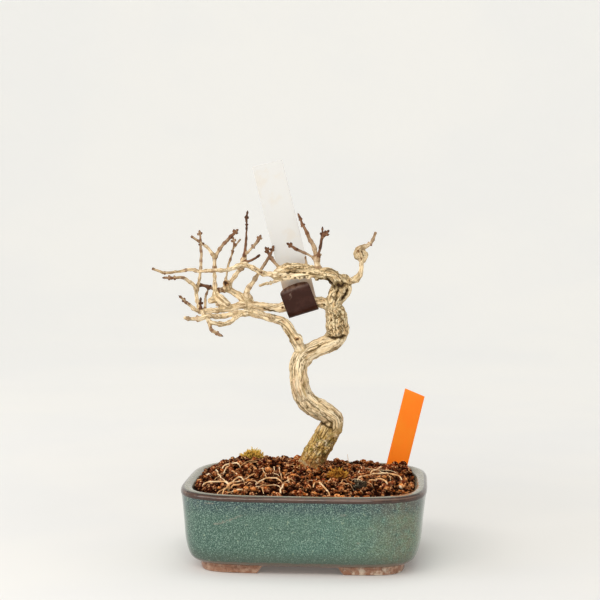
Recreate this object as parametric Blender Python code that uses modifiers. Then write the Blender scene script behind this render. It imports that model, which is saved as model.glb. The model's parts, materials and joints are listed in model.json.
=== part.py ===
"""Premna bonsai: a leafless tree with an S-shaped trunk, in a glazed pot with four feet.

Units are metres, +Z is up and the pot stands on z = 0. Places on the tree are
written in millimetres from the middle of the pot: x to the right, y to the back.
"""
import math
import random

import bmesh
import bpy
from mathutils import Matrix, Vector, noise
from mathutils.kdtree import KDTree

MM = 0.001
GAP = 0.3 * MM            # clearance between pieces that touch

# Pot
POT_WIDTH = 140 * MM      # over the lip
POT_DEPTH = 116 * MM
RIM_HEIGHT = 45.5 * MM    # crest of the lip above the surface it stands on
FOOT_HEIGHT = 6 * MM      # clear space under the body
FLOOR_TOP = 11 * MM
LIP_WIDTH = 7 * MM
LIP_EXPONENT = 4.1        # superellipse: round corners and slightly bowed sides
BASE_EXPONENT = 5.5       # the body grows squarer downwards
FOOT_EXPONENT = 7
POT_SIDES = 44
FOOT_OUTER_INSET = 12 * MM
FOOT_THICKNESS = 7 * MM
NOTCH_TOP_WIDTH = 39 * MM
NOTCH_BOTTOM_WIDTH = 50 * MM
DRAIN_RADIUS = 8 * MM
DRAIN_OFFSET = 27 * MM
DRAIN_MESH_SIZE = 24 * MM
DRAIN_MESH_THICKNESS = 1 * MM
DRAIN_MESH_HOLES = 3      # along each side
DRAIN_MESH_OPEN_SHARE = 0.7

# The pot stands this far right of the origin, which is under the middle of the whole
POT_CENTRE_X = 8.6 * MM

# Soil
SOIL_EDGE_HEIGHT = 42.5 * MM
MOUND_EXPONENT = 2.6      # plan of the dome, rounder than the pot
MOUND_RISE = 6.5 * MM     # dome over the whole pot
CROWN_RISE = 5.5 * MM     # extra heap round and behind the trunk
CROWN_CENTRE = (-12 * MM, 13 * MM)
CROWN_SPREAD = (44 * MM, 30 * MM)
GRAIN_PITCH = 7.8 * MM    # spacing of the crumbs in the relief, larger than life
GRAIN_HEIGHT = 1.3 * MM
GRAIN_SCATTER = 0.3       # of the spacing, so that the rows do not show
LOOSE_GRAINS = 10
LOOSE_GRAIN_RADIUS = 2.3 * MM

# Bark
BARK_RIDGES = 6           # lengthwise ridges round the trunk
BARK_RELIEF = 1.0 * MM
WOOD_VOXEL = 1.3 * MM
WOOD_SHARE_KEPT = 0.165   # of the skin's faces, after thinning out

# Labels
TAG_WIDTH = 17 * MM
TAG_THICKNESS = 0.7 * MM
TAG_LEAN = math.radians(14)
TAG_FOLD_CENTRE = (-2 * MM, 2.9 * MM, 146.1 * MM)
TAG_FOLD_RADIUS = 4.5 * MM
TAG_BACK_LENGTH = 85 * MM
TAG_FRONT_LENGTH = 11.3 * MM
FLAP_TWIST = math.radians(6.5)    # the short end leans further than the long leg
LABEL_WIDTH = 12.5 * MM
LABEL_LENGTH = 66 * MM
LABEL_THICKNESS = 0.9 * MM
LABEL_POINT_LENGTH = 12 * MM
LABEL_LEAN = math.radians(13.5)
LABEL_TOP = (62.5 * MM, 35 * MM, 91.7 * MM)
LABEL_SLANT = 1 * MM      # the top is cut a little askew

# Centre line and thickness across, in millimetres: x, y, z, thickness
TRUNK = (
    (1, 11, 34, 13), (2, 10.5, 44, 17), (3.4, 9.5, 53, 15.6), (9, 6.5, 63.5, 14),
    (13.8, 4, 73, 13.4), (15, 3, 77.5, 12.8), (14, 2, 81, 12.4), (7.5, -0.5, 86, 12.1),
    (2.5, -2, 89, 12.1), (-1, -3, 93, 11.8), (-3, -4.5, 98, 11.2), (-4, -3.5, 104, 10.6),
    (-4.5, -2.5, 110, 10.5), (-3, -0.5, 116, 10.4), (3.5, 2.5, 120, 10.4), (8, 3.5, 122, 10.4),
    (13, 5, 124, 11), (16, 6.5, 126.5, 12.2), (18, 6.5, 131.5, 13.2), (17.5, 5.5, 139, 12.5),
    (16.5, 4.5, 145, 10.7), (17, 3.5, 150.5, 9.8), (19.5, 2.5, 156, 9.6), (21.5, 3, 160, 7),
)

# Limbs over 3.4 mm thick and buried roots, which grow out of the trunk in one smooth skin
THICK_LIMBS = (
    ((2, 9, 46, 11), (-8, 6, 43, 8), (-17, 3, 38, 5)),
    ((3, 9, 46, 11), (12, 4, 42, 8), (20, -2, 37, 5)),
    ((2, 11, 44, 10), (4, 20, 40, 7), (7, 28, 35, 4.5)),
    ((20, 1.5, 156, 8), (17, 0.5, 160.5, 8), (13.5, -1, 163.5, 7.8), (9, -2.5, 164.5, 6.9),
     (3.5, -3.5, 165, 5.6), (-1.5, -4, 164.3, 4.6), (-8, -4.5, 163.5, 4), (-13.5, -5, 163.5, 4),
     (-19, -5.5, 163.5, 3.7)),
    ((12.5, 1, 163.7, 5.6), (6.5, 1.5, 165, 5.8), (0.5, 1, 166.5, 5.5), (-5, 0, 167.5, 5.2),
     (-11, -1, 168, 4.9), (-15, -2, 167, 4.2), (-18, -4, 165, 3.6)),
    ((17, 4, 147, 8), (11, 4, 148, 7.5), (6.5, 3.5, 149, 6.4), (2, 2.5, 148, 5.4), (-4, 2, 147, 5.1),
     (-15.5, 1.5, 144.5, 5.1), (-22.5, 2, 145, 4.9), (-29, 2.5, 145.5, 5.1), (-34.5, 2, 146.5, 5.8)),
    ((-34.5, 2, 146.5, 5.4), (-38.5, 0, 146, 4.3), (-44, -1.5, 144.5, 4), (-49.5, -3, 143.5, 3.6)),
    ((-34.5, 2, 146.5, 5.6), (-37.5, 2, 150, 4.6), (-41, 2.5, 152.5, 4), (-46.5, 2, 155.3, 3.8)),
    ((-1, 0.5, 115.5, 8), (-4.5, -1.5, 122.5, 6.9), (-7, -3.5, 128, 6.3), (-9.5, -5, 132.5, 6),
     (-12.5, -6, 136.5, 5.7), (-16.5, -7.5, 138.5, 5.2), (-22.5, -8, 140, 4.6),
     (-29, -8.5, 142, 4.6), (-33.5, -9, 143, 4.2)),
    ((-49.5, -3.2, 143.6, 4.8), (-51.3, -2, 147, 5), (-52.5, -1, 151.5, 4)),
    ((19, 2, 160, 8), (25, 0.5, 157, 4.6), (24, 0.5, 152.5, 3.9), (19.5, 1.5, 147.5, 4.4)),
    ((21.5, 3, 158.5, 6), (26, 2, 160.3, 4.2), (30, 1.5, 161.3, 3.9)),
)

# Swellings and old cuts: x, y, z, diameter
LUMPS = (
    (-7, -1, 169, 6), (-12, -2, 169.3, 4.6), (11.5, -3, 161.8, 4.6), (7.5, -4.5, 161.6, 4.2),
    (2, -5, 161.4, 4), (-4, -5.5, 161.2, 3.8), (21.5, 3.5, 160.3, 7), (17, 2, 161.5, 6),
    (20.5, 6.5, 133, 8), (-35, 2, 149, 6.4), (9.5, 2.5, 82, 7.5), (-6.5, -2, 114, 6),
    (6.7, -2.5, 167, 5.5), (12, 8, 124, 6), (-36.5, -3, 169.5, 4.4),
)

# Twigs, in the order in which they leave the limbs
TWIGS = (
    ((-16, -5, 163.5, 3.6), (-24.5, -6, 165, 3.2), (-33, -6.5, 169, 3), (-36, -7, 170, 3),
     (-45, -9.5, 167, 2.4), (-60, -13, 166.5, 2.1), (-65.5, -14.5, 167.2, 1.9),
     (-78.5, -17.5, 165.5, 1.7), (-86.5, -19, 168, 1.5)),
    ((-46, 2, 155.5, 3.2), (-43.5, 1.5, 160.5, 2.6), (-38, 0, 167.5, 3), (-36.5, -1, 172, 3.4),
     (-35.5, -2, 175, 2.8)),
    ((-36, -2, 173.5, 2.2), (-35, -2, 180.5, 1.5), (-34.5, -2, 189.5, 1.3), (-34.5, -2, 196, 1.6),
     (-34, -2, 200, 1)),
    ((-36, -2, 174.5, 1.8), (-32, -3.5, 178.5, 1.5), (-27.5, -5.5, 183.5, 2), (-26, -5, 186.5, 1.5)),
    ((-37, -1.5, 171, 2), (-32, -4.5, 172, 1.6), (-26, -6, 175.5, 1.5)),
    ((-49, -3, 143.6, 3.2), (-55, -4.5, 143, 3), (-59.5, -5, 142.7, 2.9), (-62.5, -4.5, 143, 2.5)),
    ((-61.5, -4.5, 142, 2.6), (-63.5, -1, 149.5, 2.2), (-64, 0, 155, 2.4), (-62, 0, 162.5, 1.7),
     (-61, 0, 175, 1.7), (-61.5, 0, 182, 1.4), (-62, 0, 189, 1.3)),
    ((-63.8, 0, 154, 2.4), (-65.5, -2.5, 158, 2.3), (-71, -5, 162, 2), (-76.5, -6.5, 162, 1.7),
     (-82, -7.5, 162, 1.5)),
    ((-45.5, 2, 155.5, 3.4), (-51.5, 3, 154.5, 2.6), (-55, 2.5, 155.5, 1.9), (-59, 1.5, 157, 1.6),
     (-63.5, 0, 158, 1.5)),
    ((-52, -1.5, 149, 4), (-53, -0.5, 155, 3), (-53.5, 0.5, 160, 2.2), (-53.5, 0.5, 167, 2.1),
     (-53.5, 0.5, 174, 2.2)),
    ((-53.5, 0.5, 172.5, 2), (-55.5, -0.5, 177.5, 1.9), (-62.5, -3, 183.5, 1.6),
     (-66.5, -4.5, 186, 1.5)),
    ((-53.5, 0.5, 172.5, 2.1), (-51, 2, 178, 2), (-45.5, 4.5, 184.5, 2), (-40.5, 4.5, 189.5, 1.6)),
    ((-46.5, 2.5, 155.5, 2.6), (-48, 8, 160, 1.7), (-46.5, 11, 169, 1.5), (-43.5, 11.5, 180, 1.4),
     (-44, 11.5, 185, 1.2)),
    ((-43.5, 11.5, 179, 1.4), (-39.5, 12, 184, 1.2)),
    ((-35.5, 2.5, 149, 4.2), (-34, 4, 155.5, 3.2), (-29, 5.5, 163.5, 2.1), (-23, 7, 173, 1.7),
     (-20, 7.5, 180, 1.4)),
    ((-14.5, -2, 166, 2.8), (-17.5, -2.5, 170, 1.9), (-20, -3, 173.5, 2), (-23, -4, 179.5, 1.5)),
    ((-31, -8.8, 142.6, 4.4), (-37.5, -10, 142.5, 3.5), (-47.5, -13, 140.5, 2.9),
     (-54.5, -14.5, 140.5, 2.7), (-59.5, -16, 139.5, 2.9), (-69, -16.5, 139.5, 2)),
    ((-33, -9, 143, 3.8), (-38, -11, 141, 3), (-44, -15.5, 136.8, 2.7), (-52, -18, 137, 2.5),
     (-55, -17.5, 139, 2.4)),
    ((-60, -5.5, 142.8, 2.4), (-57.5, -14.5, 141.3, 2.2), (-54.5, -17.5, 138.5, 2.3),
     (-52, -20, 133, 2.1), (-46.5, -21, 130, 1.6)),
    ((-60, -5.5, 142.5, 2.5), (-64, -9.5, 144.5, 2.3), (-69, -11.5, 149, 1.6), (-72, -13, 152, 1.4)),
    ((-60.5, -7, 143, 1.8), (-60, -11, 150.5, 1.2)),
    ((-58.5, -4.5, 142.5, 1.8), (-59, 0, 149, 1.6), (-57.5, 2.5, 155.5, 1.5)),
    ((-9, -4.5, 163, 2.6), (-15.5, -5.5, 160.8, 1.8), (-22.5, -8, 159, 1.7), (-26.5, -9, 158, 1.5)),
    ((29.3, 1.5, 161.3, 3.7), (31, 1.5, 165, 2.9), (31.5, 2.5, 171.5, 2.6), (28.7, 1.3, 174.2, 2.9),
     (28.5, 1.2, 177, 2.9), (31, 2, 179.7, 2.7), (34, 3.5, 180, 2.4), (37, 4, 182.5, 2.1),
     (40, 4.5, 188.5, 1.8)),
    ((31, 3, 169.5, 2.4), (34, 5, 174, 2.6), (32.8, 4.5, 177, 2.6), (31.5, 3, 179.6, 2.4)),
    ((7.5, -3, 165, 4.3), (6.5, -2.5, 169.5, 3.5), (6.5, -2.5, 174, 3)),
    ((7, -3, 171.5, 2.4), (7.5, -4.5, 176.5, 1.7), (9, -6, 184, 1.7), (9.5, -6, 191, 1.2)),
    ((9.2, -6.2, 185, 1.7), (13, -8, 189.5, 1.6)),
    ((6.5, -2.5, 171.5, 2.9), (4.5, -0.5, 178.5, 2.7), (0, 1, 188.5, 2.1), (-2.5, 2, 193, 1.6),
     (-5, 2.5, 198.5, 1.1)),
    ((6.5, -2, 172.5, 2), (1, -3, 175.5, 1.5), (-5, -4.5, 178.5, 1.8), (-10.5, -5, 182, 1.6)),
    ((0, 0, 166, 1.8), (-0.5, 0, 174.5, 1.3)),
    ((-46.5, 2, 155.5, 3.8), (-46, -3.5, 159, 3.7)),
    ((6, 1.5, 166.5, 2.6), (6, 12, 170.5, 1.9), (5.5, 21, 175.5, 1.5)),
    ((-17, 2, 144.8, 3.2), (-20, 13, 144, 2), (-24, 22, 143.5, 1.5)),
    ((-46.5, -2, 144, 2.8), (-50.5, 10, 143, 1.9), (-55.5, 23, 145.5, 1.4)),
    ((-25, -6, 165, 2.6), (-24.5, -15, 166, 1.8), (-27, -24, 168.5, 1.5)),
    ((-49.5, -13, 140.6, 2.4), (-49.5, -23, 141, 1.8), (-52, -31, 143.5, 1.4)),
    ((-19, -7.5, 139.5, 3), (-19.5, -18.5, 140.5, 1.8), (-22, -27.5, 143, 1.4)),
)
TIP_BUD = 1.7 * MM        # across a twig's end bud
SIDE_BUD = 1.5 * MM
BUD_STRETCH = 1.5
BUD_SIDES = 5
THIN_TWIG_RADIUS = 1.1 * MM       # buds sit on twigs thinner than this

# Roots that lie on the soil: x and y in millimetres along each strand
SURFACE_ROOTS = {
    "surface_root_left": (((-56, -27), (-55, -14), (-47, -18), (-42, -26)),
                          ((-54, 8), (-48, -9), (-43, -23))),
    "surface_root_fan": (((-47, -37), (-41, -29.5), (-31, -19), (-26, -14)),
                         ((-41, -29.5), (-38, -18), (-34, -16))),
    "surface_root_middle": (((-36, -30), (-30, -26.5), (-26, -24.5)),),
    "surface_root_arc": (((-29, -33), (-23, -24), (-17, -22.5), (-11.5, -27)),),
    "surface_root_fork": (((-9.5, -42), (-8, -29), (-8.5, -21)), ((-8, -29), (-2.5, -23.5))),
    "surface_root_front": (((4, -30), (9.5, -28), (13, -35), (16, -43)),),
    "surface_root_back_left": (((-51, 12), (-45, 14), (-39, 13)),),
    "surface_root_right_long": (((31, -13), (39.5, 3), (49.5, 14), (54.5, 6)),),
    "surface_root_right_short": (((36, -17), (42.5, -10), (47.5, -11)),),
    "surface_root_right_back": (((37, 9), (42, 15), (46, 21)),),
}
ROOT_THICKNESS = 1.2      # millimetres, and so are the next two
ROOT_AXIS_HEIGHT = 0.8    # of its centre line over the heap
ROOT_END_DEPTH = 3.0

# Moss: centre x and y, radius, height and length of its points, in millimetres
MOSS = {
    "moss_tuft_back": (-35, 24, 5.4, 3.6, 2.6),
    "moss_patch_front": (19.5, -15, 5.4, 1.9, 1.6),
    "moss_lump_right": (29.5, -24, 3.8, 2.6, 0.8),
}


def collection(name):
    """A new collection linked to the scene."""
    made = bpy.data.collections.new(name)
    bpy.context.scene.collection.children.link(made)
    return made


def material(name, colour, roughness):
    """A Principled BSDF material."""
    made = bpy.data.materials.new(name)
    made.use_nodes = True
    shader = made.node_tree.nodes["Principled BSDF"]
    shader.inputs["Base Color"].default_value = (*colour, 1)
    shader.inputs["Roughness"].default_value = roughness
    shader.inputs["Metallic"].default_value = 0
    return made


def mesh_object(name, bm, target):
    """Closes a bmesh into an object in the target collection."""
    bmesh.ops.recalc_face_normals(bm, faces=bm.faces)
    mesh = bpy.data.meshes.new(name)
    bm.to_mesh(mesh)
    bm.free()
    made = bpy.data.objects.new(name, mesh)
    target.objects.link(made)
    return made


def settle(made):
    """Replaces an object's mesh by its evaluated one, and drops its modifiers."""
    evaluated = made.evaluated_get(bpy.context.evaluated_depsgraph_get())
    mesh = bpy.data.meshes.new_from_object(evaluated)
    made.modifiers.clear()
    made.data = mesh


def join_all(made, pieces, operation="UNION", solver="EXACT"):
    """One Boolean with a whole collection, applied, after which its objects are removed."""
    boolean = made.modifiers.new("joined", "BOOLEAN")
    boolean.operand_type = "COLLECTION"
    boolean.collection = pieces
    boolean.operation = operation
    boolean.solver = solver
    settle(made)
    for piece in list(pieces.objects):
        bpy.data.objects.remove(piece)
    bpy.data.collections.remove(pieces)


def keep_largest_body(made):
    """Drops loose scraps that a cut leaves behind."""
    bm = bmesh.new()
    bm.from_mesh(made.data)
    unseen = set(bm.verts)
    bodies = []
    while unseen:
        body = set()
        front = [unseen.pop()]
        while front:
            vertex = front.pop()
            body.add(vertex)
            for edge in vertex.link_edges:
                other = edge.other_vert(vertex)
                if other in unseen:
                    unseen.discard(other)
                    front.append(other)
        bodies.append(body)
    largest = max(bodies, key=len)
    scraps = [vertex for vertex in bm.verts if vertex not in largest]
    bmesh.ops.delete(bm, geom=scraps, context="VERTS")
    bm.to_mesh(made.data)
    bm.free()


def shade_round(made, angle=40):
    """Smooth shading with sharp edges above an angle in degrees."""
    made.data.shade_smooth()
    made.data.set_sharp_from_angle(angle=math.radians(angle))


def route_through(points, step):
    """Catmull-Rom curve through (x, y, z, thickness) in millimetres, as (place, radius) in metres."""
    knots = [Vector(point) * MM for point in points]
    padded = [2 * knots[0] - knots[1], *knots, 2 * knots[-1] - knots[-2]]
    route = []
    for before, start, end, after in zip(padded, padded[1:], padded[2:], padded[3:]):
        pieces = max(1, round((end - start).length / step))
        for piece in range(pieces):
            t = piece / pieces
            square = 2 * before - 5 * start + 4 * end - after
            cube = 3 * start - before - 3 * end + after
            place = 0.5 * (2 * start + (end - before) * t + square * t ** 2 + cube * t ** 3)
            route.append((place.xyz, place.w / 2))
    route.append((knots[-1].xyz, knots[-1].w / 2))
    return route


def tube(name, route, target, resolution=1, grow=0.0):
    """A limb with round section: a curve with a radius at each point, turned into a closed mesh."""
    curve = bpy.data.curves.new(name, "CURVE")
    curve.dimensions = "3D"
    curve.bevel_depth = MM
    curve.bevel_resolution = resolution
    curve.use_fill_caps = True
    spline = curve.splines.new("POLY")
    spline.points.add(len(route) - 1)
    for point, (place, radius) in zip(spline.points, route):
        point.co = (*place, 1)
        point.radius = (radius + grow) / MM
    guide = bpy.data.objects.new(name, curve)
    bpy.context.scene.collection.objects.link(guide)
    evaluated = guide.evaluated_get(bpy.context.evaluated_depsgraph_get())
    bm = bmesh.new()
    bm.from_mesh(bpy.data.meshes.new_from_object(evaluated))
    bmesh.ops.remove_doubles(bm, verts=bm.verts, dist=MM / 1000)
    bpy.data.objects.remove(guide)
    return mesh_object(name, bm, target)


def squareness(height):
    """Exponent of the body's plan at a height: squarer at the base than at the lip."""
    share = min(1.0, max(0.0, (height - FOOT_HEIGHT) / (RIM_HEIGHT - FOOT_HEIGHT)))
    return BASE_EXPONENT + (LIP_EXPONENT - BASE_EXPONENT) * share


def plan_outline(inset, exponent):
    """Points of the pot's plan shape, drawn in from its lip by the inset."""
    power = 2 / exponent
    outline = []
    for index in range(POT_SIDES):
        turn = math.tau * index / POT_SIDES
        across, back = math.cos(turn), math.sin(turn)
        x = math.copysign(abs(across) ** power, across) * (POT_WIDTH / 2 - inset)
        y = math.copysign(abs(back) ** power, back) * (POT_DEPTH / 2 - inset)
        outline.append((x, y))
    return outline


def loft(name, profile, target, exponent=None):
    """Solid through plan outlines, from (height, inset) pairs in the order of its skin."""
    bm = bmesh.new()
    rings = []
    for height, inset in profile:
        outline = plan_outline(inset, exponent or squareness(height))
        rings.append([bm.verts.new((x, y, height)) for x, y in outline])
    for first, second in zip(rings, rings[1:]):
        for index in range(POT_SIDES):
            following = (index + 1) % POT_SIDES
            bm.faces.new((first[index], first[following], second[following], second[index]))
    bm.faces.new(reversed(rings[0]))
    bm.faces.new(rings[-1])
    return mesh_object(name, bm, target)


def block(name, size, centre, target):
    """A box of a given size, from a primitive."""
    bm = bmesh.new()
    bmesh.ops.create_cube(bm, size=1, matrix=Matrix.Translation(centre) @ Matrix.Diagonal((*size, 1)))
    return mesh_object(name, bm, target)


def inner_wall(clearance):
    """Profile of the space inside the pot, from the floor to the lip."""
    return [
        (FLOOR_TOP + clearance, 17 * MM + clearance),
        (FLOOR_TOP + 2.5 * MM, 13 * MM + clearance),
        (18 * MM, 10 * MM + clearance),
        (30 * MM, 8.2 * MM + clearance),
        (SOIL_EDGE_HEIGHT, LIP_WIDTH + clearance),
    ]


def make_pot(parts, cutters):
    """Body with a rounded lip, a skirt of four feet and two drainage holes."""
    crest = RIM_HEIGHT
    outside = [
        (FOOT_HEIGHT, 12 * MM), (6.6 * MM, 9.6 * MM), (8.5 * MM, 6.2 * MM), (12 * MM, 4.4 * MM),
        (18 * MM, 3.1 * MM), (28 * MM, 2.1 * MM), (40 * MM, 0.7 * MM), (crest - 2.5 * MM, 0),
        (crest - 0.9 * MM, 0.5 * MM), (crest, 2.4 * MM), (crest - 0.1 * MM, 4.6 * MM),
        (crest - 1.1 * MM, 6.3 * MM),
    ]
    pot = loft("pot", outside + inner_wall(0)[::-1], parts)

    feet = collection("feet")
    skirt_top = FOOT_HEIGHT + 1 * MM
    skirt = loft("skirt", [
        (0, FOOT_OUTER_INSET + 0.6 * MM), (skirt_top, FOOT_OUTER_INSET),
        (skirt_top, FOOT_OUTER_INSET + FOOT_THICKNESS), (0, FOOT_OUTER_INSET + FOOT_THICKNESS),
    ], feet, FOOT_EXPONENT)
    bm = bmesh.new()
    bm.from_mesh(skirt.data)
    flat = [face for face in bm.faces if len(face.verts) == POT_SIDES]
    bmesh.ops.delete(bm, geom=flat, context="FACES_ONLY")
    bmesh.ops.bridge_loops(bm, edges=[edge for edge in bm.edges if edge.is_boundary])
    bmesh.ops.recalc_face_normals(bm, faces=bm.faces)
    bm.to_mesh(skirt.data)
    bm.free()

    notch_top = FOOT_HEIGHT + 0.6 * MM
    notches = collection("notches")
    for name, quarter_turn in (("notch_front_back", 0), ("notch_sides", 1)):
        bm = bmesh.new()
        half_top = NOTCH_TOP_WIDTH / 2
        half_bottom = NOTCH_BOTTOM_WIDTH / 2
        outline = [(-half_bottom, -MM), (half_bottom, -MM),
                   (half_top, notch_top), (-half_top, notch_top)]
        front = [bm.verts.new((x, -POT_WIDTH / 2, z)) for x, z in outline]
        bm.faces.new(front)
        raised = bmesh.ops.extrude_face_region(bm, geom=bm.faces[:])
        moved = [item for item in raised["geom"] if isinstance(item, bmesh.types.BMVert)]
        bmesh.ops.translate(bm, verts=moved, vec=(0, POT_WIDTH, 0))
        turn = Matrix.Rotation(math.pi / 2 * quarter_turn, 3, "Z")
        bmesh.ops.rotate(bm, verts=bm.verts, matrix=turn)
        mesh_object(name, bm, notches)
    join_all(skirt, notches, "DIFFERENCE")
    join_all(pot, feet)

    for side in (-1, 1):
        bm = bmesh.new()
        place = Matrix.Translation((side * DRAIN_OFFSET, 0, FLOOR_TOP - 3 * MM))
        bmesh.ops.create_cone(bm, cap_ends=True, segments=20, radius1=DRAIN_RADIUS,
                              radius2=DRAIN_RADIUS, depth=FLOOR_TOP + MM, matrix=place)
        drain = mesh_object("drain_hole", bm, cutters)
        boolean = pot.modifiers.new("drain", "BOOLEAN")
        boolean.object = drain
    shade_round(pot, 35)
    return pot


def make_drain_mesh(name, side, parts, grow=0.0):
    """Square of plastic mesh over a drainage hole; grown and uncut, it is the soil's recess."""
    size = DRAIN_MESH_SIZE + 2 * grow
    thickness = DRAIN_MESH_THICKNESS + 2 * grow
    centre_x = side * DRAIN_OFFSET
    centre_z = FLOOR_TOP + GAP + DRAIN_MESH_THICKNESS / 2
    plate = block(name, (size, size, thickness), (centre_x, 0, centre_z), parts)
    if grow:
        return plate
    holes = collection("mesh_holes")
    pitch = DRAIN_MESH_SIZE / DRAIN_MESH_HOLES
    opening = pitch * DRAIN_MESH_OPEN_SHARE
    middle = (DRAIN_MESH_HOLES - 1) / 2
    for column in range(DRAIN_MESH_HOLES):
        for row in range(DRAIN_MESH_HOLES):
            place = (centre_x + (column - middle) * pitch, (row - middle) * pitch, centre_z)
            block("mesh_hole", (opening, opening, 3 * DRAIN_MESH_THICKNESS), place, holes)
    join_all(plate, holes, "DIFFERENCE")
    return plate


def soil_height(x, y):
    """Height of the heaped soil, without its crumbs."""
    across = abs(x) / (POT_WIDTH / 2 - LIP_WIDTH)
    back = abs(y) / (POT_DEPTH / 2 - LIP_WIDTH)
    reach = (across ** MOUND_EXPONENT + back ** MOUND_EXPONENT) ** (1 / MOUND_EXPONENT)
    dome = max(0.0, 1 - reach ** 2.2)
    crown_x = (x - CROWN_CENTRE[0]) / CROWN_SPREAD[0]
    crown_y = (y - CROWN_CENTRE[1]) / CROWN_SPREAD[1]
    crown = math.exp(-crown_x ** 2 - crown_y ** 2) * max(0.0, 1 - reach ** 6)
    return SOIL_EDGE_HEIGHT + MOUND_RISE * dome + CROWN_RISE * crown


def make_soil(parts, cutters_for_soil):
    """Heap of crumbs: a lattice of peaks with hollows between them, clipped by the pot's inner wall."""
    draw = random.Random(11)
    row_pitch = GRAIN_PITCH * math.sqrt(3) / 2
    rows = math.ceil(POT_DEPTH / row_pitch) + 1
    columns = math.ceil(POT_WIDTH / GRAIN_PITCH) + 1
    scatter = GRAIN_SCATTER * GRAIN_PITCH
    bm = bmesh.new()
    tops = {}
    for row in range(rows):
        for column in range(columns):
            shift = 0.5 * (row % 2)
            x = (column + shift - columns / 2) * GRAIN_PITCH + draw.uniform(-scatter, scatter)
            y = (row - rows / 2) * row_pitch + draw.uniform(-scatter, scatter)
            z = soil_height(x, y) + GRAIN_HEIGHT * draw.uniform(0.1, 1.0)
            tops[row, column] = bm.verts.new((x, y, z))
    for row in range(rows - 1):
        for column in range(columns - 1):
            here, right = tops[row, column], tops[row, column + 1]
            above, above_right = tops[row + 1, column], tops[row + 1, column + 1]
            if row % 2:
                corners = ((here, right, above_right), (here, above_right, above))
            else:
                corners = ((here, right, above), (right, above_right, above))
            for corner in corners:
                facet = bm.faces.new(corner)
                facet.normal_update()
                hollow = GRAIN_HEIGHT * draw.uniform(0.8, 1.4)
                bmesh.ops.poke(bm, faces=[facet], offset=-hollow)
    edge = [edge for edge in bm.edges if edge.is_boundary]
    skirt = bmesh.ops.extrude_edge_only(bm, edges=edge)
    lowered = [item for item in skirt["geom"] if isinstance(item, bmesh.types.BMVert)]
    for vertex in lowered:
        vertex.co.z = 0
    bmesh.ops.contextual_create(bm, geom=[item for item in bm.edges if item.is_boundary])
    soil = mesh_object("soil", bm, parts)

    inside = collection("pot_space")
    profile = inner_wall(GAP)
    profile.append((2 * RIM_HEIGHT, LIP_WIDTH + GAP))
    loft("pot_space", profile, inside)
    join_all(soil, inside, "INTERSECT")

    grains = collection("grains")
    placed = []
    half_x = POT_WIDTH / 2 - LIP_WIDTH - 1.6 * LOOSE_GRAIN_RADIUS
    half_y = POT_DEPTH / 2 - LIP_WIDTH - 1.6 * LOOSE_GRAIN_RADIUS
    while len(placed) < LOOSE_GRAINS:
        x = draw.uniform(-half_x, half_x)
        y = draw.uniform(-half_y, half_y)
        if abs(x / half_x) ** LIP_EXPONENT + abs(y / half_y) ** LIP_EXPONENT > 1:
            continue
        apart = min((math.hypot(x - other[0], y - other[1]) for other in placed), default=POT_WIDTH)
        if apart < 3.2 * LOOSE_GRAIN_RADIUS:
            continue
        placed.append((x, y))
        radius = LOOSE_GRAIN_RADIUS * draw.uniform(0.8, 1.2)
        place = Matrix.Translation((x, y, soil_height(x, y) + 0.25 * radius))
        turn = Matrix.Rotation(draw.uniform(0, math.tau), 4, (draw.random(), draw.random(), 1))
        squash = Matrix.Diagonal((draw.uniform(0.8, 1.2), 1, draw.uniform(0.7, 0.9), 1))
        bm = bmesh.new()
        bmesh.ops.create_icosphere(bm, subdivisions=1, radius=radius, matrix=place @ turn @ squash)
        mesh_object("grain", bm, grains)
    join_all(soil, grains)
    join_all(soil, cutters_for_soil, "DIFFERENCE")
    keep_largest_body(soil)
    return soil


def relief_of_bark(wood, route):
    """Raises wandering lengthwise ridges on the trunk, fading out on the limbs."""
    tree = KDTree(len(route))
    for index, (place, _) in enumerate(route):
        tree.insert(place, index)
    tree.balance()
    run = [0.0]
    for (start, _), (end, _) in zip(route, route[1:]):
        run.append(run[-1] + (end - start).length)
    side = Vector((0, -1, 0))
    frames = []
    for index in range(len(route)):
        start = route[max(index - 1, 0)][0]
        end = route[min(index + 1, len(route) - 1)][0]
        along = (end - start).normalized()
        side = (side - along * side.dot(along)).normalized()
        frames.append((along, side, along.cross(side)))
    normals = [vertex.normal.copy() for vertex in wood.data.vertices]
    for vertex, normal in zip(wood.data.vertices, normals):
        _, index, distance = tree.find(vertex.co)
        radius = route[index][1]
        fade = min(1.0, max(0.0, 1.9 - distance / radius)) * min(1.0, radius / (5 * MM))
        along, side, third = frames[index]
        arm = vertex.co - route[index][0]
        turn = math.atan2(arm.dot(third), arm.dot(side))
        travelled = run[index] + arm.dot(along)
        wander = noise.noise(Vector((travelled / (11 * MM), math.cos(turn), math.sin(turn))))
        ridge = abs(math.sin(BARK_RIDGES / 2 * turn + 2.4 * wander)) ** 0.7 - 0.6
        vertex.co += normal * (ridge * BARK_RELIEF * fade)


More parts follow.
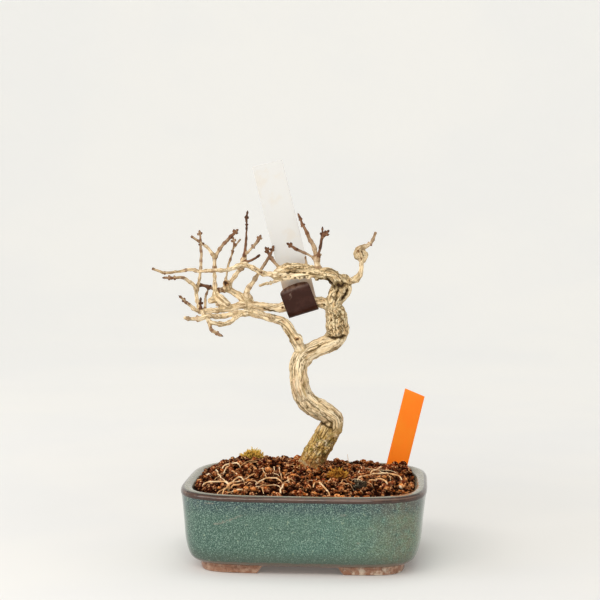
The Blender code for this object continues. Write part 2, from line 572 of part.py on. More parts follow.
def make_wood():
    """Trunk, stump, old roots and thick limbs in one skin, before the twigs are joined to it."""
    solids = collection("solids")
    trunk_route = route_through(TRUNK, 2.2 * MM)
    tube("trunk", trunk_route, solids, resolution=4)
    for points in THICK_LIMBS:
        tube("limb", route_through(points, 2.5 * MM), solids, resolution=3)
    bm = bmesh.new()
    for piece in solids.objects:
        bm.from_mesh(piece.data)
    for x, y, z, diameter in LUMPS:
        place = Matrix.Translation(Vector((x, y, z)) * MM)
        bmesh.ops.create_icosphere(bm, subdivisions=2, radius=diameter / 2 * MM, matrix=place)
    for piece in list(solids.objects):
        bpy.data.objects.remove(piece)
    bpy.data.collections.remove(solids)
    wood = mesh_object("tree", bm, bpy.context.scene.collection)
    remesh = wood.modifiers.new("skin", "REMESH")
    remesh.mode = "VOXEL"
    remesh.voxel_size = WOOD_VOXEL
    smooth = wood.modifiers.new("grown", "SMOOTH")
    smooth.factor = 0.5
    smooth.iterations = 2
    settle(wood)
    relief_of_bark(wood, trunk_route)
    fewer = wood.modifiers.new("fewer", "DECIMATE")
    fewer.ratio = WOOD_SHARE_KEPT
    settle(wood)
    return wood


def make_hole_for(wood, cutters):
    """The stump's hole in the soil: the buried wood, grown by the gap."""
    mesh = wood.data.copy()
    hole = bpy.data.objects.new("stump_hole", mesh)
    cutters.objects.link(hole)
    normals = [vertex.normal.copy() for vertex in mesh.vertices]
    for vertex, normal in zip(mesh.vertices, normals):
        vertex.co += normal * (GAP * 1.3)
    bm = bmesh.new()
    bm.from_mesh(mesh)
    above_soil = RIM_HEIGHT + 18 * MM
    everything = bm.verts[:] + bm.edges[:] + bm.faces[:]
    cut = bmesh.ops.bisect_plane(bm, geom=everything, plane_co=(0, 0, above_soil),
                                 plane_no=(0, 0, 1), clear_outer=True)
    rim = [item for item in cut["geom_cut"] if isinstance(item, bmesh.types.BMEdge)]
    bmesh.ops.contextual_create(bm, geom=rim)
    bmesh.ops.recalc_face_normals(bm, faces=bm.faces)
    bm.to_mesh(mesh)
    bm.free()


def bud(place, size, direction, target):
    """A small pointed bud: a double pyramid."""
    turn = direction.to_track_quat("Z", "Y").to_matrix().to_4x4()
    bm = bmesh.new()
    shape = Matrix.Translation(place) @ turn @ Matrix.Diagonal((1, 1, BUD_STRETCH, 1))
    bmesh.ops.create_uvsphere(bm, u_segments=BUD_SIDES, v_segments=2, radius=size / 2, matrix=shape)
    mesh_object("bud", bm, target)


def make_tree(wood, parts):
    """Joins twigs and buds to the thick wood, as one grown body."""
    draw = random.Random(5)
    twigs = collection("twigs")
    for points in TWIGS:
        route = route_through(points, 7 * MM)
        tube("twig", route, twigs)
        tip, _ = route[-1]
        heading = (tip - route[-2][0]).normalized()
        if route[-1][1] < THIN_TWIG_RADIUS:
            bud(tip, TIP_BUD, heading, twigs)
        if len(route) < 5 or route[-3][1] > THIN_TWIG_RADIUS:
            continue
        place, radius = route[-3]
        across = heading.orthogonal().normalized()
        across.rotate(Matrix.Rotation(draw.uniform(0, math.tau), 3, heading))
        for side in (-1, 1):
            lean = (across * side + heading * 0.6).normalized()
            bud(place + across * side * (radius + 0.2 * MM), SIDE_BUD, lean, twigs)
    join_all(wood, twigs)
    keep_largest_body(wood)
    bpy.context.scene.collection.objects.unlink(wood)
    parts.objects.link(wood)
    return wood


def strand_route(points, thickness):
    """A surface root: half bedded in the soil, with both ends dipping under it."""
    run_in = 2.5
    spots = [Vector(point) for point in points]
    first = spots[0] + (spots[0] - spots[1]).normalized() * run_in
    last = spots[-1] + (spots[-1] - spots[-2]).normalized() * run_in
    route = []
    for index, (x, y) in enumerate([first, *spots, last]):
        buried = index in (0, len(spots) + 1)
        rise = -ROOT_END_DEPTH if buried else ROOT_AXIS_HEIGHT
        route.append((x, y, soil_height(x * MM, y * MM) / MM + rise, thickness))
    return route_through(route, 5 * MM)


def make_surface_root(name, strands, target, grow=0.0):
    """One visible root with its side shoots."""
    routes = [strand_route(points, ROOT_THICKNESS) for points in strands]
    pieces = [tube(name, route, target, resolution=0, grow=grow) for route in routes]
    if len(pieces) > 1 and not grow:
        boolean_pieces = collection("shoots")
        for piece in pieces[1:]:
            target.objects.unlink(piece)
            boolean_pieces.objects.link(piece)
        join_all(pieces[0], boolean_pieces)
    return pieces[0]


def make_moss(name, x, y, radius, height, spike, target, grow=0.0):
    """A cushion of moss: a bedded ball whose upper faces are drawn out to points on all sides."""
    base = Vector((x * MM, y * MM, soil_height(x * MM, y * MM) + 0.25 * height * MM))
    bm = bmesh.new()
    bmesh.ops.create_icosphere(bm, subdivisions=2, radius=1)
    draw = random.Random(name)
    for face in [face for face in bm.faces if face.calc_center_median().z > 0.4]:
        bmesh.ops.poke(bm, faces=[face], offset=spike / radius * draw.uniform(0.7, 1.2))
    size = Matrix.Diagonal((radius * MM + grow, radius * 0.85 * MM + grow, height * MM + grow, 1))
    bmesh.ops.transform(bm, matrix=Matrix.Translation(base) @ size, verts=bm.verts)
    return mesh_object(name, bm, target)


def make_label(target, grow=0.0):
    """Plain strip pushed into the soil behind the tree, with a pointed foot."""
    half = LABEL_WIDTH / 2 + grow
    shoulder = LABEL_POINT_LENGTH - LABEL_LENGTH
    bm = bmesh.new()
    outline = [(-half, grow + LABEL_SLANT), (-half, shoulder), (0, -LABEL_LENGTH - grow),
               (half, shoulder), (half, grow - LABEL_SLANT)]
    face = bm.faces.new([bm.verts.new((x, -LABEL_THICKNESS / 2 - grow, z)) for x, z in outline])
    raised = bmesh.ops.extrude_face_region(bm, geom=[face])
    moved = [item for item in raised["geom"] if isinstance(item, bmesh.types.BMVert)]
    bmesh.ops.translate(bm, verts=moved, vec=(0, LABEL_THICKNESS + 2 * grow, 0))
    place = Matrix.Translation(LABEL_TOP) @ Matrix.Rotation(LABEL_LEAN, 4, "Y")
    bmesh.ops.transform(bm, matrix=place, verts=bm.verts)
    return mesh_object("plant_label", bm, target)


def make_branch_tag(parts):
    """Strip hung over a limb: a long leg behind, a fold under the limb and a short end in front."""
    fold = Vector(TAG_FOLD_CENTRE)
    radius = TAG_FOLD_RADIUS
    path = [(radius, TAG_BACK_LENGTH, 0), (radius, TAG_BACK_LENGTH / 2, 0), (radius, radius, 0)]
    turns = 7
    for index in range(turns + 1):
        angle = -math.pi * index / turns
        path.append((radius * math.cos(angle), radius * math.sin(angle), index / turns))
    path.append((-radius, TAG_FRONT_LENGTH * 0.6, 1))
    path.append((-radius * 0.8, TAG_FRONT_LENGTH * 0.85, 1))
    path.append((-radius * 0.35, TAG_FRONT_LENGTH, 1))
    bm = bmesh.new()
    rows = []
    for back, up, share in path:
        turn = Matrix.Rotation(-TAG_LEAN - FLAP_TWIST * share, 3, "Y")
        corners = [Vector((side * TAG_WIDTH / 2, back, up)) for side in (-1, 1)]
        rows.append([bm.verts.new(fold + turn @ corner) for corner in corners])
    for (left, right), (next_left, next_right) in zip(rows, rows[1:]):
        bm.faces.new((left, right, next_right, next_left))
    tag = mesh_object("branch_tag", bm, parts)
    thick = tag.modifiers.new("thickness", "SOLIDIFY")
    thick.thickness = TAG_THICKNESS
    thick.offset = 0
    thick.use_even_offset = True
    return tag


def dress(made, finish, stand):
    """Gives a piece its material and stands it on the pot's place."""
    made.data.materials.clear()
    made.data.materials.append(finish)
    made.parent = stand


def main():
    for leftover in list(bpy.data.objects):
        bpy.data.objects.remove(leftover)
    parts = collection("premna_bonsai")
    cutters = collection("cutters")
    stand = bpy.data.objects.new("pot_place", None)
    stand.location.x = POT_CENTRE_X
    parts.objects.link(stand)

    soil_cutters = collection("soil_cutters")
    dress(make_pot(parts, cutters), material("teal_glaze", (0.07, 0.21, 0.19), 0.25), stand)
    mesh_finish = material("black_plastic_mesh", (0.02, 0.02, 0.02), 0.5)
    for name, side in (("drain_mesh_left", -1), ("drain_mesh_right", 1)):
        dress(make_drain_mesh(name, side, parts), mesh_finish, stand)
        make_drain_mesh(name, side, soil_cutters, grow=GAP)
    root_finish = material("pale_root", (0.62, 0.48, 0.30), 0.7)
    for name, strands in SURFACE_ROOTS.items():
        dress(make_surface_root(name, strands, parts), root_finish, stand)
        make_surface_root(name, strands, soil_cutters, grow=GAP)
    moss_finish = material("moss", (0.26, 0.25, 0.05), 0.9)
    for name, sizes in MOSS.items():
        dress(make_moss(name, *sizes, parts), moss_finish, stand)
        make_moss(name, *sizes, soil_cutters, grow=GAP)
    dress(make_label(parts), material("orange_plastic", (0.85, 0.22, 0.01), 0.45), stand)
    make_label(soil_cutters, grow=GAP)
    dress(make_branch_tag(parts), material("tag_film", (0.75, 0.73, 0.70), 0.5), stand)

    wood = make_wood()
    make_hole_for(wood, soil_cutters)
    tree = make_tree(wood, parts)
    shade_round(tree, 60)
    dress(tree, material("bark", (0.42, 0.30, 0.16), 0.8), stand)
    dress(make_soil(parts, soil_cutters), material("granular_soil", (0.13, 0.05, 0.025), 0.95), stand)

    for cutter in cutters.objects:
        cutter.hide_render = True
        cutter.display_type = "WIRE"
        cutter.parent = stand


main()
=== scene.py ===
"""Premna bonsai: the looks of the tree, its pot and its soil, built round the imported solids.

Shapes are laid out in millimetres from the middle of the pot (x to the right, y to the back,
z up from the surface it stands on) and are turned into the frame's metres as meshes are made.
"""

import json
import logging
import math
import random
from collections.abc import Iterable, Sequence
from dataclasses import dataclass, field
from enum import Enum

import bmesh
import bpy
import numpy as np
from mathutils import Matrix, Vector, noise
from mathutils.kdtree import KDTree

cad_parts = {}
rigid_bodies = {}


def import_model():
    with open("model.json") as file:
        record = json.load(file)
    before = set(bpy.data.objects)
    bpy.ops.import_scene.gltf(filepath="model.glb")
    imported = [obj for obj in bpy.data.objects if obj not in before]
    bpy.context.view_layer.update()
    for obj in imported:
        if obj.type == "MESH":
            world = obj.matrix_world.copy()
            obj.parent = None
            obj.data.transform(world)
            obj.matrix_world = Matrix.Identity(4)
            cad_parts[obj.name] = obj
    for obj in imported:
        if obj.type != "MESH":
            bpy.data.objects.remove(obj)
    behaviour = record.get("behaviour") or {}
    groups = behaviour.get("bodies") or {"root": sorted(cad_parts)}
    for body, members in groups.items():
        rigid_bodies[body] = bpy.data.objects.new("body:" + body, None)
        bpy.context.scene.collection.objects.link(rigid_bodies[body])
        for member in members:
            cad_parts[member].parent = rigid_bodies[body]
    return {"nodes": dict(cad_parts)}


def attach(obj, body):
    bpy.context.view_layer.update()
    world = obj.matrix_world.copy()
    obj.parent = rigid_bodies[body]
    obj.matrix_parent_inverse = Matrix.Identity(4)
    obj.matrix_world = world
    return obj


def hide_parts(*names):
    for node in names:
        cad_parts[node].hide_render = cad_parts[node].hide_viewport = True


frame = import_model()

MM = 0.001
POT_CENTRE = np.array((8.6, 0.0, 0.0))
BODY = "root"
# Vector noise starts from the clock unless it is seeded
NOISE_SEED = 5
log = logging.getLogger("premna")

Point = tuple[float, float, float, float]
Shape = tuple[np.ndarray, list[tuple[int, ...]]]
# Place on the heap, height over it, radius, shade and shape
Granule = tuple[float, float, float, float, float, Shape]


class End(Enum):
    """How a twig ends."""

    BUDS = "a bud with a pair behind it"
    POINT = "one long bud"
    CUT = "a blunt cut"
    JOINT = "inside another stem"


@dataclass(frozen=True)
class Twig:
    """A thin stem: its end, how brown it is at either end, and its centre line."""

    end: End
    foot_brown: float
    tip_brown: float
    points: tuple[Point, ...]


# Centre line and thickness across, in millimetres: x, y, z, thickness
TRUNK: tuple[Point, ...] = (
    (1, 11, 34, 13), (1.4, 10.5, 44, 16.5), (2.3, 9.5, 53, 15), (7.7, 6.5, 63.5, 14),
    (12.7, 4.1, 73, 14), (14.7, 3, 77.5, 13.1), (14, 2, 81, 12.4), (7.5, -0.5, 86, 12.1),
    (2.5, -2, 89, 12.1), (-1, -3, 93, 11.8), (-3, -4.5, 98, 11.2), (-4, -3.5, 104, 10.6),
    (-4.5, -2.5, 110, 10.5), (-3, -0.5, 116, 10.4), (3.5, 2.5, 120, 10.4), (8, 3.5, 122, 10.4),
    (13, 5, 124, 11), (16, 6.5, 126.5, 12.2), (17.5, 6.5, 131.5, 13.5), (16.9, 5.5, 139, 13),
    (16.2, 5, 142.3, 11.6), (15.4, 4.5, 145, 9.7), (16.2, 3.5, 150.5, 9.8), (19, 2.5, 156, 9.4),
    (21, 3, 160, 7),
)

# Three old roots inside the soil, then the limbs that start over 3.4 mm thick
THICK_LIMBS: tuple[tuple[Point, ...], ...] = (
    ((2, 9, 52, 13), (-4.5, 5.5, 48.5, 8.5), (-11, 2, 44, 6), (-17, 0, 38, 5)),
    ((3, 9, 46, 11), (12, 4, 42, 8), (20, -2, 37, 5)),
    ((2, 11, 44, 10), (4, 20, 40, 7), (7, 28, 35, 4.5)),
    ((20, 1.5, 156, 8), (17, 0.5, 160.5, 8), (13.5, -1, 164, 8.3), (9, -2.5, 164.5, 6.9),
     (3.5, -3.5, 165, 5.6), (-1.5, -4, 164.3, 4.6), (-8, -4.5, 163.5, 4), (-13.5, -5, 163.5, 4),
     (-19, -5.5, 163.5, 3.7)),
    ((12.5, 1, 163.7, 5.6), (6.5, 1.5, 165, 5.8), (0.5, 1, 166.8, 5.8), (-5, 0, 167.6, 6.3),
     (-11, -1, 167.7, 6), (-15, -2, 166.6, 4.8), (-18, -4, 165, 3.6)),
    ((17, 4, 146, 8), (11, 4, 146.9, 7.5), (6.5, 3.5, 147.9, 6.4), (2, 2.5, 147.5, 5.4),
     (-4, 2, 147, 5.1), (-15.5, 1.5, 144.5, 5.1), (-22.5, 2, 145, 4.9), (-29, 2.5, 145.5, 5.1),
     (-34.5, 2, 146.5, 5.8)),
    ((-34.5, 2, 146.5, 5.4), (-38.5, 0, 146, 4.3), (-44, -1.5, 144.5, 4), (-49.5, -3, 143.5, 3.6)),
    ((-34.5, 2, 146.5, 5.6), (-37.5, 2, 150, 4.6), (-41, 2.5, 152.5, 4), (-46.5, 2, 155.3, 3.8)),
    ((-1, 0.5, 115.5, 8), (-4.5, -1.5, 122.5, 6.9), (-7, -3.5, 128, 6.3), (-9.5, -5, 132.5, 6),
     (-12.5, -6, 136.5, 5.7), (-16.5, -7.5, 138.5, 5.2), (-22.5, -8, 140, 4.6),
     (-29, -8.5, 142, 4.6), (-33.5, -9, 143, 4.2)),
    ((-45, -2.4, 146, 4.2), (-49, -2, 148.6, 5.6), (-52, -1, 151, 5.4), (-53, -0.5, 154, 3.6)),
    ((-50.5, -1.6, 149.9, 5), (-53.2, -1.3, 149.4, 4.5), (-55.6, -1.1, 148.6, 3.6), (-57, -1, 148.1, 2.4)),
    ((19, 2, 160, 8), (24.2, 2, 157, 4.1), (23.5, 2.7, 153, 3.4), (21.2, 3.2, 150, 3.2),
     (18.5, 3.6, 147, 3.4)),
    ((21.5, 3, 158.5, 6), (26, 2, 160.3, 4.2), (30, 1.5, 161.3, 3.9)),
)

# Twigs, each from inside the limb or twig that bears it
TWIGS: tuple[Twig, ...] = (
    Twig(End.CUT, 0.05, 0.4, ((-16, -5, 163.5, 3.6), (-24.5, -6, 165, 3.2), (-33, -6.5, 169, 3),
         (-36, -7, 170, 3), (-45, -9.5, 167, 2.4), (-60, -13, 166.5, 2.1), (-65.5, -14.5, 167.2, 1.9),
         (-78.5, -17.5, 165.5, 1.7), (-86.5, -19, 168, 1.5))),
    Twig(End.JOINT, 0.1, 0.3, ((-46, 2, 155.5, 3.2), (-43.5, 1.5, 160.5, 2.6), (-38, 0, 167.5, 3),
         (-36.5, -1, 172, 3.4), (-35.5, -2, 175, 2.8))),
    Twig(End.POINT, 0.7, 0.95, ((-36, -2, 173.5, 2.2), (-35, -2, 180.5, 1.5), (-34.5, -2, 189.5, 1.3),
         (-34.5, -2, 196, 1.6), (-34, -2, 200, 1))),
    Twig(End.BUDS, 0.2, 0.6, ((-36, -2, 174.5, 1.8), (-32, -3.5, 178.5, 1.5), (-27.5, -5.5, 183.5, 2),
         (-26, -5, 186.5, 1.5))),
    Twig(End.CUT, 0.55, 0.95, ((-37, -1.5, 171, 2), (-32, -4.5, 172, 1.6), (-26, -6, 175.5, 1.5))),
    Twig(End.JOINT, 0.1, 0.15, ((-49, -3, 143.6, 3.2), (-55, -4.5, 143, 3), (-59.5, -5, 142.7, 2.9),
         (-62.5, -4.5, 143, 2.5))),
    Twig(End.BUDS, 0.15, 0.55, ((-61.5, -4.5, 142, 2.6), (-63.5, -1, 149.5, 2.2), (-64, 0, 155, 2.4),
         (-62, 0, 162.5, 1.7), (-61, 0, 175, 1.7), (-61.5, 0, 182, 1.4), (-62, 0, 189, 1.3))),
    Twig(End.POINT, 0.15, 0.6, ((-63.8, 0, 154, 2.4), (-65.5, -2.5, 158, 2.3), (-71, -5, 162, 2),
         (-76.5, -6.5, 162, 1.7), (-82, -7.5, 162, 1.5))),
    Twig(End.CUT, 0.3, 0.8, ((-45.5, 2, 155.5, 3.4), (-51.5, 3, 154.5, 2.9), (-55, 2.5, 155.5, 2.4),
         (-59, 1.5, 157, 2.1), (-63.5, 0, 158, 1.9))),
    Twig(End.JOINT, 0.1, 0.3, ((-52, -1.5, 149, 4), (-53, -0.5, 155, 3), (-53.5, 0.5, 160, 2.2),
         (-53.5, 0.5, 167, 2.1), (-53.5, 0.5, 174, 2.2))),
    Twig(End.CUT, 0.15, 0.45, ((-53.5, 0.5, 172.5, 2), (-55.5, -0.5, 177.5, 1.9),
         (-62.5, -3, 183.5, 1.6), (-66.5, -4.5, 186, 1.5))),
    Twig(End.BUDS, 0.35, 0.7, ((-53.5, 0.5, 172.5, 2.1), (-51, 2, 178, 2), (-45.5, 4.5, 184.5, 2),
         (-40.5, 4.5, 189.5, 1.6))),
    Twig(End.BUDS, 0.15, 0.55, ((-46.5, 2.5, 155.5, 2.6), (-48, 8, 160, 1.7), (-46.5, 11, 169, 1.5),
         (-43.5, 11.5, 180, 1.4), (-44, 11.5, 185, 1.2))),
    Twig(End.CUT, 0.3, 0.6, ((-43.5, 11.5, 179, 1.4), (-39.5, 12, 184, 1.2))),
    Twig(End.BUDS, 0.1, 0.7, ((-35.5, 2.5, 149, 4.2), (-34, 4, 155.5, 3.2), (-29, 5.5, 163.5, 2.1),
         (-23, 7, 173, 1.7), (-20, 7.5, 180, 1.4))),
    Twig(End.BUDS, 0.4, 0.75, ((-14.5, -2, 166, 2.8), (-17.5, -2.5, 170, 1.9), (-20, -3, 173.5, 2),
         (-23, -4, 179.5, 1.5))),
    Twig(End.CUT, 0.05, 0.2, ((-31, -8.8, 142.6, 4.4), (-37.5, -10, 142.5, 3.5),
         (-47.5, -13, 140.5, 2.9), (-54.5, -14.5, 140.5, 2.7), (-59.5, -16, 139.5, 2.9),
         (-69, -16.5, 139.5, 2))),
    Twig(End.JOINT, 0.1, 0.2, ((-33, -9, 143, 3.8), (-38, -11, 141, 3), (-44, -15.5, 136.8, 2.7),
         (-52, -18, 137, 2.5), (-55, -17.5, 139, 2.4))),
    Twig(End.POINT, 0.15, 0.5, ((-60, -5.5, 142.8, 2.4), (-57.5, -14.5, 141.3, 2.2),
         (-54.5, -17.5, 138.5, 2.3), (-52, -20, 133, 2.1), (-46.5, -21, 130, 1.6))),
    Twig(End.POINT, 0.2, 0.45, ((-60, -5.5, 142.5, 2.5), (-64, -9.5, 144.5, 2.3),
         (-69, -11.5, 149, 1.6), (-72, -13, 152, 1.4))),
    Twig(End.POINT, 0.7, 1, ((-60.5, -7, 143, 1.8), (-60, -11, 150.5, 1.2))),
    Twig(End.CUT, 0.3, 0.5, ((-58.5, -4.5, 142.5, 1.8), (-59, 0, 149, 1.6), (-57.5, 2.5, 155.5, 1.5))),
    Twig(End.CUT, 0.05, 0.15, ((-9, -4.5, 163, 2.6), (-15.5, -5.5, 160.8, 1.8), (-22.5, -8, 159, 1.7),
         (-26.5, -9, 158, 1.5))),
    Twig(End.CUT, 0, 0.5, ((29.3, 1.5, 161.3, 3.7), (31, 1.5, 165, 2.9), (31.5, 2.5, 171.5, 2.6),
         (28.7, 1.3, 174.2, 2.9), (28.5, 1.2, 177, 2.9), (31, 2, 179.7, 2.7), (34, 3.5, 180, 2.4),
         (37, 4, 182.5, 2.1), (40, 4.5, 188.5, 1.8))),
    Twig(End.JOINT, 0.1, 0.2, ((31, 3, 169.5, 2.4), (34, 5, 174, 2.6), (32.8, 4.5, 177, 2.6),
         (31.5, 3, 179.6, 2.4))),
    Twig(End.JOINT, 0.2, 0.4, ((7.5, -3, 165, 4.3), (6.5, -2.5, 169.5, 3.5), (6.5, -2.5, 174, 3))),
    Twig(End.POINT, 0.75, 0.9, ((7, -3, 171.5, 2.4), (7.5, -4.5, 176.5, 1.7), (9, -6, 184, 1.7),
         (9.5, -6, 191, 1.2))),
    Twig(End.BUDS, 0.6, 0.75, ((9.2, -6.2, 185, 1.7), (13, -8, 189.5, 1.6))),
    Twig(End.POINT, 0.4, 0.7, ((6.5, -2.5, 171.5, 2.9), (4.5, -0.5, 178.5, 2.7), (0, 1, 188.5, 2.1),
         (-2.5, 2, 193, 1.6), (-5, 2.5, 198.5, 1.1))),
    Twig(End.BUDS, 0.4, 0.7, ((6.5, -2, 172.5, 2), (1, -3, 175.5, 1.5), (-5, -4.5, 178.5, 1.8),
         (-10.5, -5, 182, 1.6))),
    Twig(End.CUT, 0.3, 0.55, ((0, 0, 166, 1.8), (-0.5, 0, 174.5, 1.3))),
    Twig(End.CUT, 0.1, 0.35, ((-46.5, 2, 155.5, 3.8), (-46, -3.5, 159, 3.7))),
    Twig(End.BUDS, 0.1, 0.5, ((6, 1.5, 166.5, 2.6), (6, 12, 170.5, 1.9), (5.5, 21, 175.5, 1.5))),
    Twig(End.BUDS, 0.1, 0.5, ((-17, 2, 144.8, 3.2), (-20, 13, 144, 2), (-24, 22, 143.5, 1.5))),
    Twig(End.BUDS, 0.1, 0.5, ((-46.5, -2, 144, 2.8), (-50.5, 10, 143, 1.9), (-55.5, 23, 145.5, 1.4))),
    Twig(End.CUT, 0.05, 0.25, ((-25, -6, 165, 2.6), (-24.5, -15, 166, 1.8), (-27, -24, 168.5, 1.5))),
    Twig(End.CUT, 0.05, 0.3, ((-49.5, -13, 140.6, 2.4), (-49.5, -23, 141, 1.8),
         (-52, -31, 143.5, 1.4))),
    Twig(End.CUT, 0.05, 0.25, ((-19, -7.5, 139.5, 3), (-19.5, -18.5, 140.5, 1.8),
         (-22, -27.5, 143, 1.4))),
)

# Swellings and old cuts: x, y, z, diameter
LUMPS: tuple[Point, ...] = (
    (-12.6, -2, 168.7, 3.6), (-3.6, 0, 168.6, 3.8), (6.4, -3.6, 162.2, 3.3), (1.4, -5, 162.6, 2.8),
    (-3.6, -5.2, 162.4, 2.7), (-9.8, -5.4, 162.1, 2.6), (21.3, 3.5, 161, 7.2), (17, 2, 161.5, 6),
    (20.5, 6.5, 133, 8), (-34.8, 2, 149.1, 7.6), (9.5, 2.5, 82, 7.5), (-6.5, -2, 114, 6),
    (6.7, -2.5, 167, 5.5), (12, 8, 124, 6), (-36.5, -3, 169.5, 4.4), (31.2, 3.2, 175.8, 4.7),
    (28.6, 2, 161.5, 5), (-46, -3.2, 158.8, 4.6), (-13.5, 0.6, 145.4, 5.6), (-5, -4.5, 127, 6.8),
    (-0.5, 0.5, 114.5, 8.2), (-25.5, -8.2, 141.3, 5), (3, 0.8, 166.5, 6.2),
)

# Knots with a dark heart, and faint brown scars of healed cuts: x, y, z and reach
KNOTS: tuple[Point, ...] = (
    (-46.2, -5.4, 159.4, 2.0), (-13.7, -2.1, 144.7, 1.1), (-4.7, -8.2, 127, 1.1),
    (29.8, 0.3, 177.8, 0.8), (31.2, 1.6, 173.4, 0.7),
)
SCARS: tuple[Point, ...] = (
    (-10, -8, 162.6, 1.1), (-6.2, -8, 161.4, 1.1), (-3, -7.6, 161.2, 1.1), (0.4, -7.4, 161.4, 1.2),
    (4.8, -7, 161.8, 1.3), (-12.5, -9.2, 137.4, 2.0), (-15.5, -8.4, 137, 1.6), (12.5, -0.5, 160.6, 1.2),
)

# Folds and hollows of the front, cut in and painted dark as their shade: half width, then x and z along each
FOLDS: tuple[tuple[float, tuple[tuple[float, float], ...]], ...] = (
    (1.15, ((7.4, 79.4), (9.4, 77.7), (12.4, 76.1), (15.6, 74.9))),
    (1.0, ((13.2, 128), (16.9, 127.2), (19.8, 127), (22.6, 128.2))),
    (1.4, ((12.4, 161), (13.9, 159), (16.2, 157.2))),
    (2.3, ((18.6, 158.2), (20, 157.2), (21.4, 158.4))),
    (0.9, ((18.6, 156.4), (17.4, 152.4), (17.2, 148.6))),
    (1.0, ((23.4, 155.4), (22.4, 152.2), (20.3, 149.2))),
    (0.6, ((20.4, 160.6), (22.6, 158.8), (25.4, 158.4))),
    (0.5, ((-12.5, 165.4), (-6.5, 165.7), (-0.5, 165.3), (5, 164.8))),
    (0.45, ((31.4, 177.4), (32.2, 176.3), (32.8, 175.2))),
    (0.7, ((-24.6, 143.9), (-20.4, 142.8), (-16.4, 141.3))),
)
# Small pits of the front, such as those in a row under the upper limb, cut in and painted dark as their
# shade: x, z and half width
PITS: tuple[tuple[float, float, float], ...] = (
    (-11.5, 162.7, 0.6), (-8.8, 162.9, 0.5), (-6.1, 162.2, 0.6), (-3.5, 162.5, 0.5), (-0.8, 162.6, 0.6),
    (1.2, 162.9, 0.5), (4.5, 161.9, 0.7), (8.5, 161.8, 0.7), (-14.4, 163.6, 0.5), (10.2, 146.4, 0.8),
    (14.2, 137.5, 0.7), (19.2, 133.8, 0.6), (16.4, 140.6, 0.7), (21.5, 128.6, 1.0),
)

# Roots that lie on the soil: x and y in millimetres along each strand
SURFACE_ROOTS: dict[str, tuple[tuple[tuple[float, float], ...], ...]] = {
    "surface_root_left": (((-56, -27.2), (-51.4, -25.8), (-45.7, -25.8), (-41.3, -32.5)),
                          ((-52.9, -0.8), (-50.4, -10.2), (-45.7, -22.3), (-41.7, -31))),
    "surface_root_fan": (((-43, -42.7), (-41.3, -35.5), (-39.6, -25.3), (-37.5, -17.6), (-35, -19.9)),
                         ((-40.8, -33), (-38, -27.7), (-34.1, -23.4), (-31.6, -15.1), (-29, -10.4))),
    "surface_root_middle": (((-38.8, -34.8), (-35.6, -32.5), (-32.5, -29.8), (-26.8, -26.3)),),
    "surface_root_arc": (((-26.7, -34.8), (-24.8, -28.6), (-22.2, -20.4), (-16.9, -20), (-12.3, -26.6)),),
    "surface_root_fork": (((-10.7, -43.5), (-10.5, -32.5), (-8.6, -24.3), (-6.2, -22.6)),
                          ((-8.6, -24.3), (-9.5, -18.3))),
    "surface_root_front": (((6.7, -32.1), (7.4, -27.5), (9.9, -28.3), (13.5, -38), (16.4, -46.3)),),
    "surface_root_back_left": (((-48.9, 3.5), (-45.1, 7.3), (-40.8, 6.2)),),
    "surface_root_right_long": (((31.2, -12.5), (35.7, -4.1), (41.2, 3.9), (49.2, 8.1), (54.4, 1.5)),),
    "surface_root_right_short": (((36.9, -17.5), (40.5, -16.7), (42.2, -12.1), (46.4, -15.3)),),
    "surface_root_right_back": (((38, 8.1), (40.5, 14.4), (42.7, 24.6)),),
}
# Thinner roots between them
FINE_ROOTS: tuple[tuple[tuple[float, float], ...], ...] = (
    ((-45.7, -44.4), (-44.2, -39.8), (-41.2, -36.5)),
    ((-37.9, -41.7), (-35.5, -40.5), (-32.7, -38.8)),
    ((-27.4, -35.9), (-23.1, -36), (-21.1, -40.9)),
    ((-25.8, 0.9), (-24.3, -6), (-21.9, -14.3)),
    ((-19.6, 1.9), (-18.3, -3.5)),
    ((-16.1, 1.2), (-14.4, -7.2), (-12.9, -16.1)),
    ((-43.2, -4.1), (-39.3, -10.3)),
    ((30.3, 24.6), (31.4, 16.1), (30.5, 4)),
    ((-46.5, 4.2), (-47.5, -5.4)),
    ((-40.9, -45), (-37.9, -42.2), (-34.3, -39.4)),
)


def linear(hex_colour: str) -> tuple[float, float, float, float]:
    """Turns an sRGB colour into the linear one that shader sockets hold.

    Args:
        hex_colour: Colour such as "#8A6855".

    Returns:
        Linear red, green, blue and an alpha of one.
    """
    shares = [int(hex_colour[at:at + 2], 16) / 255 for at in (1, 3, 5)]
    red, green, blue = (
        share / 12.92 if share <= 0.04045 else ((share + 0.055) / 1.055) ** 2.4 for share in shares
    )
    return red, green, blue, 1.0


def add_node(tree: bpy.types.NodeTree, kind: str, settings: dict[str, object],
             inputs: dict[str | int, object]) -> bpy.types.Node:
    """Adds a shader node with its settings and links.

    Args:
        tree: Node tree that takes it.
        kind: Blender's name for the node's type.
        settings: Attribute values.
        inputs: For each input, by name or number, an output to link or a value to hold.

    Returns:
        The new node.
    """
    node = tree.nodes.new(kind)
    for name, value in settings.items():
        setattr(node, name, value)
    for key, value in inputs.items():
        if isinstance(value, bpy.types.NodeSocket):
            tree.links.new(value, node.inputs[key])
        else:
            node.inputs[key].default_value = value
    return node


def add_math(tree: bpy.types.NodeTree, operation: str, *values: object) -> bpy.types.NodeSocket:
    """Adds a sum of one kind to a node tree, and gives its result."""
    return add_node(tree, "ShaderNodeMath", {"operation": operation}, dict(enumerate(values))).outputs[0]


def kept(tree: bpy.types.NodeTree, name: str, output: str = "Fac") -> bpy.types.NodeSocket:
    """Adds a node that reads what a mesh keeps at its points, and gives its output."""
    return add_node(tree, "ShaderNodeAttribute", {"attribute_name": name}, {}).outputs[output]


